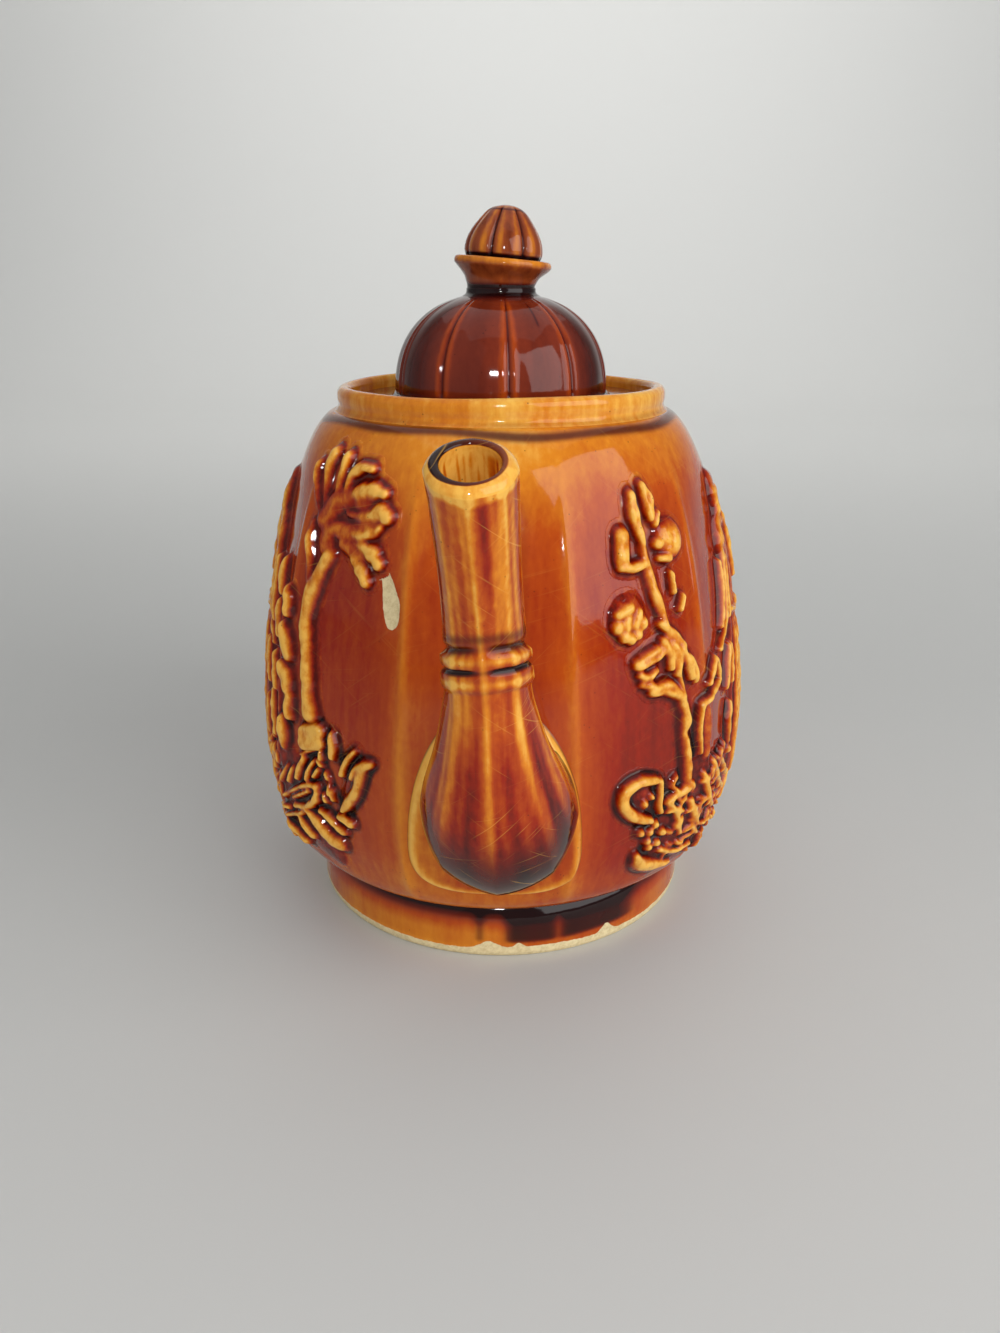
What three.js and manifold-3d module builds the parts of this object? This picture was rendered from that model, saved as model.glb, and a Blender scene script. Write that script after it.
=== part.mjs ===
// Stoneware teapot with a treacle glaze: a ten-panelled body on a foot ring, a ring collar with an
// inner ledge, a faceted spout, a loop handle, relief sprigs and a lobed lid that lifts off.
// Millimetres, +Z up. The pot stands on z = 0 with its axis on Z, and the spout points to -Y.
import * as THREE from 'three';
import { mergeVertices } from 'three/addons/utils/BufferGeometryUtils.js';
import Module from 'manifold-3d';

// Fits
const SEAM = 0.3; // between pieces that the clay and glaze join
const RELIEF_SEAM = 0.45; // under the sprigs, whose flat backs cross a curved wall
const LID_CLEARANCE = 0.8; // between the loose lid and the pot, on the radius

// Foot ring
const FOOT_RADIUS = 56.3;
const FOOT_HEIGHT = 15.5;
const FOOT_WIDTH = 6.8;
const FOOT_GROOVE = 1.5;

// Body
const PANELS = 10;
const PANEL_DIP = 1.8; // of a panel's middle below the ribs beside it
const BELLY_RADIUS = 70.7;
const BELLY_HEIGHT = 52;
const SHOULDER_RADIUS = 46.2;
const SHOULDER_HEIGHT = 143.2;
const UNDERSIDE_FULLNESS = 2.4;
const SHOULDER_RISE = 1.65;
const SHOULDER_ROUNDNESS = 0.615;
const BODY_WALL = 5.5; // at the ribs between the panels
const FLOOR_THICKNESS = 4.5;
const RIB_FADE_ABOVE = 30; // the ribs die away over this height below the shoulder
const RIB_FADE_BELOW = 12; // and over this height above the foot

// Collar and the ledge that carries the lid
const COLLAR_RADIUS = 45.4;
const COLLAR_WALL = 3.7;
const COLLAR_HEIGHT = 6.8; // of the rim above the shoulder
const LEDGE_DEPTH = 6.4; // below the rim
const LEDGE_WIDTH = 5.4;
const LEDGE_THICKNESS = 2.9;

// Lid
const LID_FLANGE_THICKNESS = 3;
const BEZEL_DEPTH = 10.5;
const BEZEL_WALL = 2.6;
const DOME_RADIUS = 29.1;
const DOME_RISE = 26.4;
const DOME_FULLNESS = 2.3;
const DOME_WALL = 3.6;
const DOME_GROOVE = 0.7;
const LID_TURN = 7; // angle of one groove from the spout
const VENT_RADIUS = 1.5;
const NECK_RADIUS = 9.4;
const NECK_HEIGHT = 2;

// Knob
const KNOB_FLANGE_RADIUS = 13.2;
const KNOB_FLANGE_HEIGHT = 7.6;
const KNOB_TILT = 4.9;
const BUD_RADIUS = 10.3;
const BUD_HEIGHT = 12.2;
const BUD_LOBES = 7;
const BUD_TURN = -17; // angle of one groove from the spout
const BUD_GROOVE = 0.8;
const BUD_BUTTON_RADIUS = 3.4;

// Spout
const SPOUT_ROOT_HEIGHT = 54;
const SPOUT_REACH = 37; // of the mouth's middle, out from the belly
const SPOUT_RISE = 89.6; // of the mouth's middle, above the root
const SPOUT_ROOT_HALF_WIDTH = 19.2;
const SPOUT_ROOT_HALF_DEPTH = 20.8;
const SPOUT_LEAN = 3.6; // of the root to the right of the mouth, so the spout leans left
const SPOUT_SIDES = 8;
const SPOUT_WALL = 2.7;
const SPOUT_FACETING = 0.55; // 0 is round, 1 is a true octagon
const SPOUT_RING_RISE = 0.9;
const PAD_MARGIN = 4; // the pad shows this far round the root of the spout
const PAD_SHIFT = 1.8; // of the pad's middle from the plane of the spout's mouth
const PAD_RISE = 2;
const STRAINER_RADIUS = 12;
const STRAINER_THICKNESS = 3;
const STRAINER_HOLE_RADIUS = 1.8;
const STRAINER_PITCH = 6.4;

// Handle
const HANDLE_REACH = 38; // of its middle line, out from the belly
const HANDLE_TOP = 120;
const HANDLE_BOTTOM = 40;
const HANDLE_HALF_WIDTH = 7.6;
const HANDLE_HALF_DEPTH = 7.2;
const HANDLE_FLARE = 0.45; // share by which it thickens towards both roots
const THUMB_REST_PLACE = 0.27; // share of the handle's length from its upper root
const THUMB_REST_RISE = 9;

// Relief
const RELIEF_RISE = 2.8;
const RELIEF_UNIT = 1; // what the half widths of the strips and bosses are counted in
const RELIEF_EDGE = 0.62; // share of the width that stays level at the top of a strip
const STRIP_STEP = 12; // longest straight run of a strip, a quarter of it on the underside

// Colours of the glaze where it lies thick and thin
const TREACLE = 0x8c3a14;
const DARK_TREACLE = 0x5a1f10;
const AMBER = 0xc98a35;
const BROWN_AMBER = 0xa9601f;

const wasm = await Module();
wasm.setup();

const RIM_HEIGHT = SHOULDER_HEIGHT + COLLAR_HEIGHT;
const WALL_BASE = FOOT_HEIGHT + SEAM + FOOT_GROOVE;
const BODY_TOP = SHOULDER_HEIGHT - LEDGE_THICKNESS + SEAM;
const UNDERSIDE_TOP = WALL_BASE + (BELLY_HEIGHT - WALL_BASE) * 0.45;
const HALF_PANEL = 180 / PANELS;

const radians = THREE.MathUtils.degToRad;
const steps = (from, to, count) =>
  Array.from({ length: count + 1 }, (_, i) => from + ((to - from) * i) / count);

// A point at an angle from the spout's side of the axis, positive towards +X
function at(radius, angle, height) {
  const turn = radians(angle);
  return new THREE.Vector3(radius * Math.sin(turn), -radius * Math.cos(turn), height);
}

// Closed solid from rows of points. A row of one point is a tip. Rows either close into a loop or
// end in a tip or a flat cap.
function skin(rows, loop = false) {
  const points = rows.flat();
  const starts = [];
  rows.reduce((sum, row) => (starts.push(sum), sum + row.length), 0);
  const index = [];
  const last = loop ? rows.length : rows.length - 1;
  for (let i = 0; i < last; i++) {
    const j = (i + 1) % rows.length;
    const sides = Math.max(rows[i].length, rows[j].length);
    for (let k = 0; k < sides; k++) {
      const next = (k + 1) % sides;
      const a = starts[i] + (rows[i].length > 1 ? k : 0);
      const b = starts[i] + (rows[i].length > 1 ? next : 0);
      const c = starts[j] + (rows[j].length > 1 ? next : 0);
      const d = starts[j] + (rows[j].length > 1 ? k : 0);
      if (a !== b) index.push(a, b, c);
      if (c !== d) index.push(a, c, d);
    }
  }
  if (!loop) {
    const cap = (row, start, flip) => {
      for (let k = 1; k + 1 < row.length; k++) {
        index.push(start, start + (flip ? k + 1 : k), start + (flip ? k : k + 1));
      }
    };
    cap(rows[0], starts[0], true);
    cap(rows.at(-1), starts.at(-1), false);
  }
  const geometry = new THREE.BufferGeometry().setFromPoints(points);
  geometry.setIndex(index);
  return outward(geometry);
}

// Turns the faces over if they point into the solid
function outward(geometry) {
  const p = geometry.attributes.position;
  const index = geometry.index.array;
  const corner = (i) => new THREE.Vector3().fromBufferAttribute(p, index[i]);
  let volume = 0;
  for (let i = 0; i < index.length; i += 3) {
    volume += corner(i).dot(corner(i + 1).cross(corner(i + 2)));
  }
  if (volume < 0) {
    for (let i = 0; i < index.length; i += 3) {
      [index[i], index[i + 1]] = [index[i + 1], index[i]];
    }
  }
  return geometry;
}

// Solid of revolution whose radius may vary with the angle
function revolve(profile, angles, shape = (radius) => radius) {
  const rows = profile.map(([radius, height]) =>
    radius === 0
      ? [new THREE.Vector3(0, 0, height)]
      : angles.map((angle) => at(shape(radius, height, angle), angle, height)),
  );
  return skin(rows, profile[0][0] > 0);
}

function toManifold(geometry) {
  const bare = geometry.clone();
  bare.deleteAttribute('normal');
  bare.deleteAttribute('uv');
  const merged = mergeVertices(bare, 1e-4);
  const vertProperties = new Float32Array(merged.attributes.position.array);
  const triVerts = new Uint32Array(merged.index.array);
  return new wasm.Manifold(new wasm.Mesh({ numProp: 3, vertProperties, triVerts }));
}

function toGeometry(solid) {
  const mesh = solid.getMesh();
  const geometry = new THREE.BufferGeometry();
  geometry.setAttribute('position', new THREE.BufferAttribute(mesh.vertProperties, 3));
  geometry.setIndex(new THREE.BufferAttribute(mesh.triVerts, 1));
  return geometry;
}

const cut = (piece, ...tools) =>
  toGeometry(tools.reduce((left, tool) => left.subtract(toManifold(tool)), toManifold(piece)));
const join = (...pieces) =>
  toGeometry(pieces.map(toManifold).reduce((sum, piece) => sum.add(piece)));

function glazed(name, geometry, color, roughness = 0.16) {
  geometry.deleteAttribute('normal');
  geometry.computeVertexNormals();
  const material = new THREE.MeshStandardMaterial({ color, roughness, metalness: 0 });
  const mesh = new THREE.Mesh(geometry, material);
  mesh.name = name;
  return mesh;
}

// The body's outer outline at the ribs: two superellipse quarters that meet at the belly
function wallRadius(height) {
  if (height <= BELLY_HEIGHT) {
    const down = (BELLY_HEIGHT - height) / (BELLY_HEIGHT - WALL_BASE);
    const foot = FOOT_RADIUS - FOOT_GROOVE;
    const part = Math.max(0, 1 - Math.min(1, down) ** UNDERSIDE_FULLNESS);
    return foot + (BELLY_RADIUS - foot) * part ** (1 / UNDERSIDE_FULLNESS);
  }
  const up = (height - BELLY_HEIGHT) / (SHOULDER_HEIGHT - BELLY_HEIGHT);
  const part = Math.max(0, 1 - Math.min(1, up) ** SHOULDER_RISE);
  return SHOULDER_RADIUS + (BELLY_RADIUS - SHOULDER_RADIUS) * part ** SHOULDER_ROUNDNESS;
}

// How deep the panels dip at a height: fully on the belly, not at all at the collar and foot
function panelDip(height) {
  const above = THREE.MathUtils.smoothstep(BODY_TOP - height, 0, RIB_FADE_ABOVE);
  const below = THREE.MathUtils.smoothstep(height - WALL_BASE, 0, RIB_FADE_BELOW);
  return PANEL_DIP * above * below;
}

function panelled(radius, height, angle) {
  const wave = Math.cos(radians(PANELS * (angle - HALF_PANEL)));
  return radius - (panelDip(height) * (1 - wave)) / 2;
}

const wallAt = (height, angle) => panelled(wallRadius(height), height, angle);

function bodyHeights(top) {
  const lower = steps(90, 0, 6).map((turn) => {
    return BELLY_HEIGHT - (BELLY_HEIGHT - WALL_BASE) * Math.sin(radians(turn));
  });
  const upper = steps(0, 90, 9).map((turn) => {
    return BELLY_HEIGHT + (SHOULDER_HEIGHT - BELLY_HEIGHT) * Math.sin(radians(turn));
  });
  return [...lower, ...upper.slice(1)].filter((height) => height < top - 1).concat(top);
}

const PANEL_ANGLES = steps(HALF_PANEL, HALF_PANEL + 360, 4 * PANELS).slice(0, -1);
const ROUND_ANGLES = steps(0, 360, 40).slice(0, -1);

// Everything inside the body's outer face, grown by the seam: what spout and handle are cut by
function bodyCore() {
  const outer = bodyHeights(BODY_TOP).map((height) => [wallRadius(height) + SEAM, height]);
  const profile = [[0, outer[0][1]], ...outer, [0, BODY_TOP]];
  return revolve(profile, PANEL_ANGLES, panelled);
}

function bodyShell() {
  const floor = FOOT_HEIGHT + SEAM;
  const inside = floor + FLOOR_THICKNESS;
  const footing = FOOT_RADIUS - FOOT_GROOVE;
  const outer = bodyHeights(BODY_TOP).map((height) => [wallRadius(height), height]);
  const inner = bodyHeights(BODY_TOP)
    .filter((height, i, all) => height > inside + FLOOR_THICKNESS && (all.length - i) % 2 === 1)
    .map((height) => [wallRadius(height) - BODY_WALL, height])
    .reverse();
  const [innerRadius] = inner.at(-1);
  const corner = [innerRadius - FLOOR_THICKNESS, inside];
  const profile = [[0, floor], [footing, floor], ...outer, ...inner, corner, [0, inside]];
  const shape = (radius, height, angle) => {
    const onOutside = radius >= wallRadius(height) - SEAM && height >= WALL_BASE;
    return onOutside ? panelled(radius, height, angle) : radius;
  };
  const opening = new THREE.CylinderGeometry(STRAINER_RADIUS, STRAINER_RADIUS, BELLY_RADIUS, 24);
  opening.translate(SPOUT_LEAN, -BELLY_RADIUS, SPOUT_ROOT_HEIGHT);
  return cut(revolve(profile, PANEL_ANGLES, shape), opening);
}

function footRing() {
  const inner = FOOT_RADIUS - FOOT_WIDTH;
  const profile = [
    [FOOT_RADIUS - 0.5, 0],
    [FOOT_RADIUS, 1.2],
    [FOOT_RADIUS, FOOT_HEIGHT * 0.62],
    [FOOT_RADIUS - FOOT_GROOVE * 0.45, FOOT_HEIGHT * 0.84],
    [FOOT_RADIUS - FOOT_GROOVE, FOOT_HEIGHT],
    [inner - 1.5, FOOT_HEIGHT],
    [inner, 1],
    [inner + 0.6, 0],
  ];
  return revolve(profile, ROUND_ANGLES);
}

const LEDGE_TOP = RIM_HEIGHT - LEDGE_DEPTH;
const GALLERY_RADIUS = COLLAR_RADIUS - COLLAR_WALL;
const MOUTH_RADIUS = GALLERY_RADIUS - LEDGE_WIDTH;

function galleryCollar() {
  const base = BODY_TOP + SEAM;
  const lip = COLLAR_WALL / 2;
  const middle = COLLAR_RADIUS - lip;
  const round = steps(0, 180, 4).map((turn) => {
    return [middle + lip * Math.cos(radians(turn)), RIM_HEIGHT - lip + lip * Math.sin(radians(turn))];
  });
  const shoulder = steps(base, SHOULDER_HEIGHT, 2).map((height) => [wallRadius(height), height]);
  const profile = [
    ...shoulder,
    [COLLAR_RADIUS, SHOULDER_HEIGHT + 1.3],
    ...round,
    [GALLERY_RADIUS, LEDGE_TOP],
    [MOUTH_RADIUS, LEDGE_TOP],
    [MOUTH_RADIUS, base],
  ];
  return revolve(profile, ROUND_ANGLES);
}

// The spout's rings. out and up are shares of its reach and rise, width and depth are shares of its
// half width and half depth at the root, and pitch is how far the spout has turned upwards.
const SPOUT_RINGS = [
  { out: -0.33, up: 0, pitch: 0, width: 0.99, depth: 0.99 },
  { out: 0.04, up: 0.006, pitch: 12, width: 1, depth: 1 },
  { out: 0.25, up: 0.056, pitch: 30, width: 0.97, depth: 0.9 },
  { out: 0.4, up: 0.156, pitch: 50, width: 0.865, depth: 0.76 },
  { out: 0.481, up: 0.279, pitch: 66, width: 0.677, depth: 0.615 },
  { out: 0.543, up: 0.391, pitch: 74, width: 0.547, depth: 0.505 },
  { out: 0.572, up: 0.452, pitch: 78, width: 0.495, depth: 0.46 },
  { out: 0.575, up: 0.46, pitch: 78, width: 0.492, depth: 0.457, ring: 1 },
  { out: 0.627, up: 0.56, pitch: 78, width: 0.467, depth: 0.434, ring: 1 },
  { out: 0.632, up: 0.569, pitch: 78, width: 0.466, depth: 0.433 },
  { out: 0.697, up: 0.664, pitch: 74, width: 0.448, depth: 0.413 },
  { out: 0.792, up: 0.776, pitch: 71, width: 0.443, depth: 0.409 },
  { out: 0.924, up: 0.926, pitch: 66, width: 0.458, depth: 0.423 },
  { out: 1, up: 1, pitch: 63, width: 0.469, depth: 0.433 },
  { out: 1.02, up: 1.017, pitch: 63, width: 0.415, depth: 0.383 },
];

// One ring of the spout: an octagon with a ridge in front, softened towards an ellipse
function spoutRow(station, grow, faceting = SPOUT_FACETING) {
  const sides = 2 * SPOUT_SIDES;
  const pitch = radians(station.pitch);
  const proud = grow + (station.ring && grow >= 0 ? SPOUT_RING_RISE : 0);
  const halfWidth = SPOUT_ROOT_HALF_WIDTH * station.width + proud;
  const halfDepth = SPOUT_ROOT_HALF_DEPTH * station.depth + proud;
  const lean = SPOUT_LEAN * (1 - station.up);
  return steps(0, 360, sides)
    .slice(0, -1)
    .map((angle, i) => {
      const ridge = i % 2 === 0 ? 1 : 1 - faceting * (1 - Math.cos(Math.PI / SPOUT_SIDES));
      const across = halfWidth * ridge * Math.sin(radians(angle));
      const along = halfDepth * ridge * Math.cos(radians(angle));
      const out = BELLY_RADIUS + SPOUT_REACH * station.out + along * Math.sin(pitch);
      const up = SPOUT_ROOT_HEIGHT + SPOUT_RISE * station.up - along * Math.cos(pitch);
      return new THREE.Vector3(lean + across, -out, up);
    });
}

const spoutOutside = (grow = 0) => skin(SPOUT_RINGS.map((station) => spoutRow(station, grow)));

function spout() {
  const inside = SPOUT_RINGS.filter((station) => !station.ring);
  const { width, depth } = inside.at(-2);
  const mouth = { ...inside.at(-1), width, depth };
  const beyond = { ...mouth, out: mouth.out + 0.05, up: mouth.up + 0.05 };
  const bore = [...inside.slice(0, -1), mouth, beyond];
  const hollow = skin(bore.map((station) => spoutRow(station, -SPOUT_WALL, 0)));
  return cut(spoutOutside(), hollow, bodyCore());
}

// Raised pad of clay round the root of the spout, square below and egg-shaped above
function spoutPad() {
  const halfHeight = SPOUT_ROOT_HALF_DEPTH + PAD_MARGIN;
  const halfWidth = SPOUT_ROOT_HALF_WIDTH + PAD_MARGIN;
  const turn = THREE.MathUtils.radToDeg(PAD_SHIFT / BELLY_RADIUS);
  const grid = steps(-1, 1, 8).map((share) => {
    const height = SPOUT_ROOT_HEIGHT - 1 + share * halfHeight;
    const narrow = share > 0 ? 1.9 : 5;
    const part = Math.sqrt(1 - 0.94 * Math.abs(share) ** narrow);
    const half = THREE.MathUtils.radToDeg((halfWidth * part) / BELLY_RADIUS);
    const place = (angle, lift) => at(wallAt(height, angle) + SEAM + lift, angle, height);
    const bottom = steps(-half, half, 8).map((angle) => place(turn + angle, -PAD_RISE));
    const top = steps(0.93 * half, -0.93 * half, 8).map((angle) => place(turn + angle, PAD_RISE));
    return [...bottom, ...top];
  });
  return cut(skin(grid), spoutOutside(SEAM), bodyCore());
}

// Pierced plate in the wall behind the spout that holds back the leaves
function spoutStrainer() {
  const plate = new THREE.Shape();
  plate.absarc(0, 0, STRAINER_RADIUS - SEAM, 0, 2 * Math.PI);
  const middles = [[0, 0], ...steps(0, 300, 5).map((turn) => {
    return [STRAINER_PITCH * Math.cos(radians(turn)), STRAINER_PITCH * Math.sin(radians(turn))];
  })];
  for (const [x, y] of middles) {
    const hole = new THREE.Path();
    hole.absarc(x, y, STRAINER_HOLE_RADIUS, 0, 2 * Math.PI);
    plate.holes.push(hole);
  }
  const geometry = new THREE.ExtrudeGeometry(plate, {
    depth: STRAINER_THICKNESS,
    bevelEnabled: false,
    curveSegments: 5,
  });
  return geometry.rotateX(Math.PI / 2);
}

// Middle line of the handle from its upper root to its lower root, in the plane x = 0
function handleLine() {
  const wall = BELLY_RADIUS;
  const reach = BELLY_RADIUS + HANDLE_REACH;
  const span = HANDLE_TOP - HANDLE_BOTTOM;
  const route = [
    [wallRadius(HANDLE_TOP) - 8, HANDLE_TOP - 2],
    [wallRadius(HANDLE_TOP) + 6, HANDLE_TOP + 4],
    [wall + 0.48 * HANDLE_REACH, HANDLE_TOP + 6],
    [reach - 4, HANDLE_BOTTOM + 0.88 * span],
    [reach, HANDLE_BOTTOM + 0.6 * span],
    [wall + 0.74 * HANDLE_REACH, HANDLE_BOTTOM + 0.3 * span],
    [wall + 0.34 * HANDLE_REACH, HANDLE_BOTTOM + 0.1 * span],
    [wall - 9, HANDLE_BOTTOM],
  ];
  return new THREE.CatmullRomCurve3(route.map(([out, up]) => new THREE.Vector3(0, out, up)));
}

// The handle's outside, a ten-sided tube that flares where it meets the body
function handleOutside(grow = 0) {
  const line = handleLine();
  const rows = steps(0, 1, 22).map((share) => {
    const middle = line.getPointAt(share);
    const along = line.getTangentAt(share);
    const side = new THREE.Vector3(0, -along.z, along.y);
    const nearRoot = Math.max(0, 0.16 - share, share - 0.86) / 0.16;
    const flare = 1 + HANDLE_FLARE * nearRoot;
    return steps(0, 360, 10).slice(0, -1).map((angle) => {
      const across = (HANDLE_HALF_WIDTH * flare + grow) * Math.cos(radians(angle));
      const deep = (HANDLE_HALF_DEPTH * flare + grow) * Math.sin(radians(angle));
      return middle.clone().addScaledVector(side, deep).add(new THREE.Vector3(across, 0, 0));
    });
  });
  return skin(rows);
}

const handle = () => cut(handleOutside(), bodyCore());

// Spur on top of the handle, where the thumb rests
function thumbRest() {
  const line = handleLine();
  const middle = line.getPointAt(THUMB_REST_PLACE);
  const along = line.getTangentAt(THUMB_REST_PLACE);
  const up = new THREE.Vector3(0, -along.z, along.y);
  const top = HANDLE_HALF_DEPTH + THUMB_REST_RISE;
  const spur = [
    { lift: 3, back: -3, half: 5.2, thick: 7 },
    { lift: HANDLE_HALF_DEPTH + THUMB_REST_RISE / 3, back: 0, half: 5, thick: 4.4 },
    { lift: top - 2, back: 4, half: 4.6, thick: 3.2 },
    { lift: top, back: 9, half: 3, thick: 1.8 },
  ];
  const rows = spur.map(({ lift, back, half, thick }) => {
    const centre = middle.clone().addScaledVector(up, lift).addScaledVector(along, back);
    return steps(0, 360, 8).slice(0, -1).map((angle) => {
      const x = half * Math.cos(radians(angle));
      const deep = thick * Math.sin(radians(angle));
      return centre.clone().addScaledVector(along, deep).add(new THREE.Vector3(x, 0, 0));
    });
  });
  return cut(skin(rows), handleOutside(1.1 * SEAM));
}

// How high the top of a strip stands at each point across it, as a share of its rise
const level = () => 0.9;
const domed = (share) => 1 - 0.3 * share * share;
const folded = (share, point) => (point % 2 ? 1 : 0.5);
const lumpy = (share, point, row) => ((point + row) % 2 ? 1 : 0.4);

// A tapering strip of relief laid on the wall. Each station gives the angle from the spout, the
// height as a percentage of the wall's height, and half the strip's width.
function strip(stations, rise = RELIEF_RISE, columns = 1, crest = level, crests = columns) {
  const heightOf = (percent) => WALL_BASE + ((BODY_TOP - WALL_BASE) * percent) / 100;
  const middle = heightOf(stations[Math.floor(stations.length / 2)][1]);
  const perDegree = radians(wallRadius(middle));
  const corners = stations.map(([angle, percent, half]) => {
    return new THREE.Vector3(angle * perDegree, heightOf(percent), half * RELIEF_UNIT);
  });
  const spans = corners.slice(1).flatMap((end, i) => {
    const limit = end.y < UNDERSIDE_TOP ? STRIP_STEP / 4 : STRIP_STEP;
    const count = Math.ceil(Math.hypot(end.x - corners[i].x, end.y - corners[i].y) / limit);
    return steps(0, 1, count).slice(1).map((share) => corners[i].clone().lerp(end, share));
  });
  const line = [corners[0], ...spans];
  const flat = line.map(({ x, y }) => new THREE.Vector2(x, y));
  const rows = flat.map((point, i) => {
    const before = flat[Math.max(0, i - 1)];
    const after = flat[Math.min(flat.length - 1, i + 1)];
    const ahead = after.clone().sub(before).normalize();
    const across = new THREE.Vector2(-ahead.y, ahead.x);
    const half = line[i].z;
    const place = (share, lift) => {
      const spot = point.clone().addScaledVector(across, half * share);
      const angle = spot.x / perDegree;
      return at(wallAt(spot.y, angle) + RELIEF_SEAM + lift, angle, spot.y);
    };
    const bottom = steps(-1, 1, columns).map((share) => place(share, 0));
    const top = steps(1, -1, crests).map((share, point) => {
      return place(share * RELIEF_EDGE, rise * crest(share, point, i));
    });
    return [...bottom, ...top];
  });
  return skin(rows);
}

// A leaf from its stalk to its tip, widest just short of the middle
function leaf(from, to, half, rise = RELIEF_RISE) {
  const along = [0, 0.42, 1];
  const widths = [0.45, 1, 0.16];
  return strip(
    along.map((share, i) => [
      THREE.MathUtils.lerp(from[0], to[0], share),
      THREE.MathUtils.lerp(from[1], to[1], share),
      half * widths[i],
    ]),
    rise,
  );
}

// A round boss, for flowers, berries and heads
function boss(angle, percent, half, rise = RELIEF_RISE) {
  const tall = ((half * RELIEF_UNIT) / (BODY_TOP - WALL_BASE)) * 100;
  const rows = [-1, -0.62, 0, 0.62, 1].map((share) => {
    return [angle, percent + share * tall, half * Math.sqrt(1.02 - share * share)];
  });
  return strip(rows, rise, 2, domed);
}

const mirrored = (side, list) => list.map(([angle, ...rest]) => [side * angle, ...rest]);

function palmTree() {
  const heart = [-42.6, 76.5];
  const trunk = strip([
    [-44.3, 41, 2.5],
    [-44.8, 46, 2.1],
    [-45.4, 53, 2],
    [-45.8, 60, 2],
    [-45.2, 67, 2.1],
    [-43.4, 72.5, 2.1],
    [-42.2, 77.5, 2.4],
  ]);
  const tips = [
    [-56.5, 77.6, 2.4],
    [-56.5, 89.8, 3],
    [-47.6, 95.5, 2.6],
    [-41, 96.5, 2.5],
    [-34, 94.5, 3],
    [-28, 89.5, 3],
    [-25.5, 84, 2.8],
    [-27.6, 76, 2.9],
    [-31.8, 70.5, 2.6],
  ];
  return join(trunk, ...tips.map(([angle, percent, half]) => leaf(heart, [angle, percent], half)));
}

function climber() {
  const stem = strip([
    [46, 31, 2.4],
    [45, 37, 2.2],
    [44, 43, 2.1],
    [43, 49, 1.9],
    [41.2, 56, 1.8],
    [41, 61.5, 1.7],
    [40.4, 67, 1.7],
    [38, 73.5, 1.5],
    [36, 79, 1.4],
    [35, 84, 1.3],
  ]);
  return join(
    stem,
    leaf([36, 80], [33.5, 91], 3),
    leaf([35.5, 82], [38.5, 93], 2.6),
    leaf([37, 76], [28, 80], 3.6),
    boss(43.6, 80, 4.3),
    leaf([37.5, 74], [43, 79], 1.6),
    boss(32, 65.5, 6),
    leaf([41, 67], [33, 66], 2),
    boss(44.2, 56.5, 5),
    boss(39.4, 50.5, 3.8),
    leaf([43.5, 49], [39, 50], 2),
  );
}

const CURL = [
  [34.5, 20.5, 1.6],
  [31, 23, 2],
  [28.6, 27, 2.4],
  [28.4, 31, 2.3],
  [31, 33.6, 2],
  [35, 33.2, 1.8],
];

function curledLeaf(side) {
  const edge = strip(mirrored(side, CURL));
  const heart = leaf([side * 34, 21.5], [side * 32, 32.5], 3.4, RELIEF_RISE * 0.6);
  return join(edge, heart);
}

// A lumpy heap at the foot of a panel, with leaves that reach out of it
function undergrowth(side) {
  const mound = strip(
    mirrored(side, [
      [47.3, 6, 7],
      [48.4, 9, 10.5],
      [50.2, 14, 13.5],
      [52.3, 20, 14],
      [54.2, 25, 12.5],
      [55.6, 29, 8],
    ]),
    RELIEF_RISE * 0.85,
    6,
    lumpy,
    6,
  );
  const leaves = [
    [[42, 9], [33.5, 10], 3],
    [[41.5, 15], [32.5, 15.5], 2.6],
    [[45, 20], [40, 26], 1.8],
    [[46, 24], [41, 32], 1.8],
  ];
  return join(
    mound,
    ...leaves.map(([from, to, half]) => leaf(...mirrored(side, [from, to]), half)),
  );
}

// The leafy shoot that climbs out of the undergrowth beside the palm
function leafColumn() {
  const stem = strip(
    [
      [-54.4, 27, 1.8],
      [-54.4, 39.5, 1.3],
      [-54.8, 51, 1.2],
      [-56, 62, 1.1],
      [-57.4, 68, 1],
    ],
    RELIEF_RISE * 0.6,
  );
  const leaves = [
    [[-54.4, 31], [-51.2, 39], 2.4],
    [[-54.6, 35], [-59.8, 43.5], 2.2],
    [[-54.4, 43], [-50.4, 50], 2.6],
    [[-54.8, 46], [-59.6, 51.5], 2.2],
    [[-55, 53], [-51, 59.5], 2.4],
    [[-56.2, 58], [-60, 63.5], 2],
    [[-57.4, 66], [-60.6, 72.5], 2.2],
  ];
  return join(stem, ...leaves.map(([from, to, half]) => leaf(from, to, half)));
}

function palmRock() {
  return strip([[-42.8, 34.3, 4.5], [-42.8, 36.8, 5], [-42.8, 39.2, 4.5]], RELIEF_RISE, 2, domed);
}

// A stump with two young shoots
function treeStump() {
  const stump = strip(
    [[54.6, 32, 4.4], [54.2, 36, 3.8], [54, 41, 3.7], [54, 45.5, 4.2]],
    RELIEF_RISE * 1.1,
    2,
    domed,
  );
  return join(stump, leaf([53, 44], [50.6, 51], 1.8), leaf([54.5, 44], [54.6, 52], 1.8));
}

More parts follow.
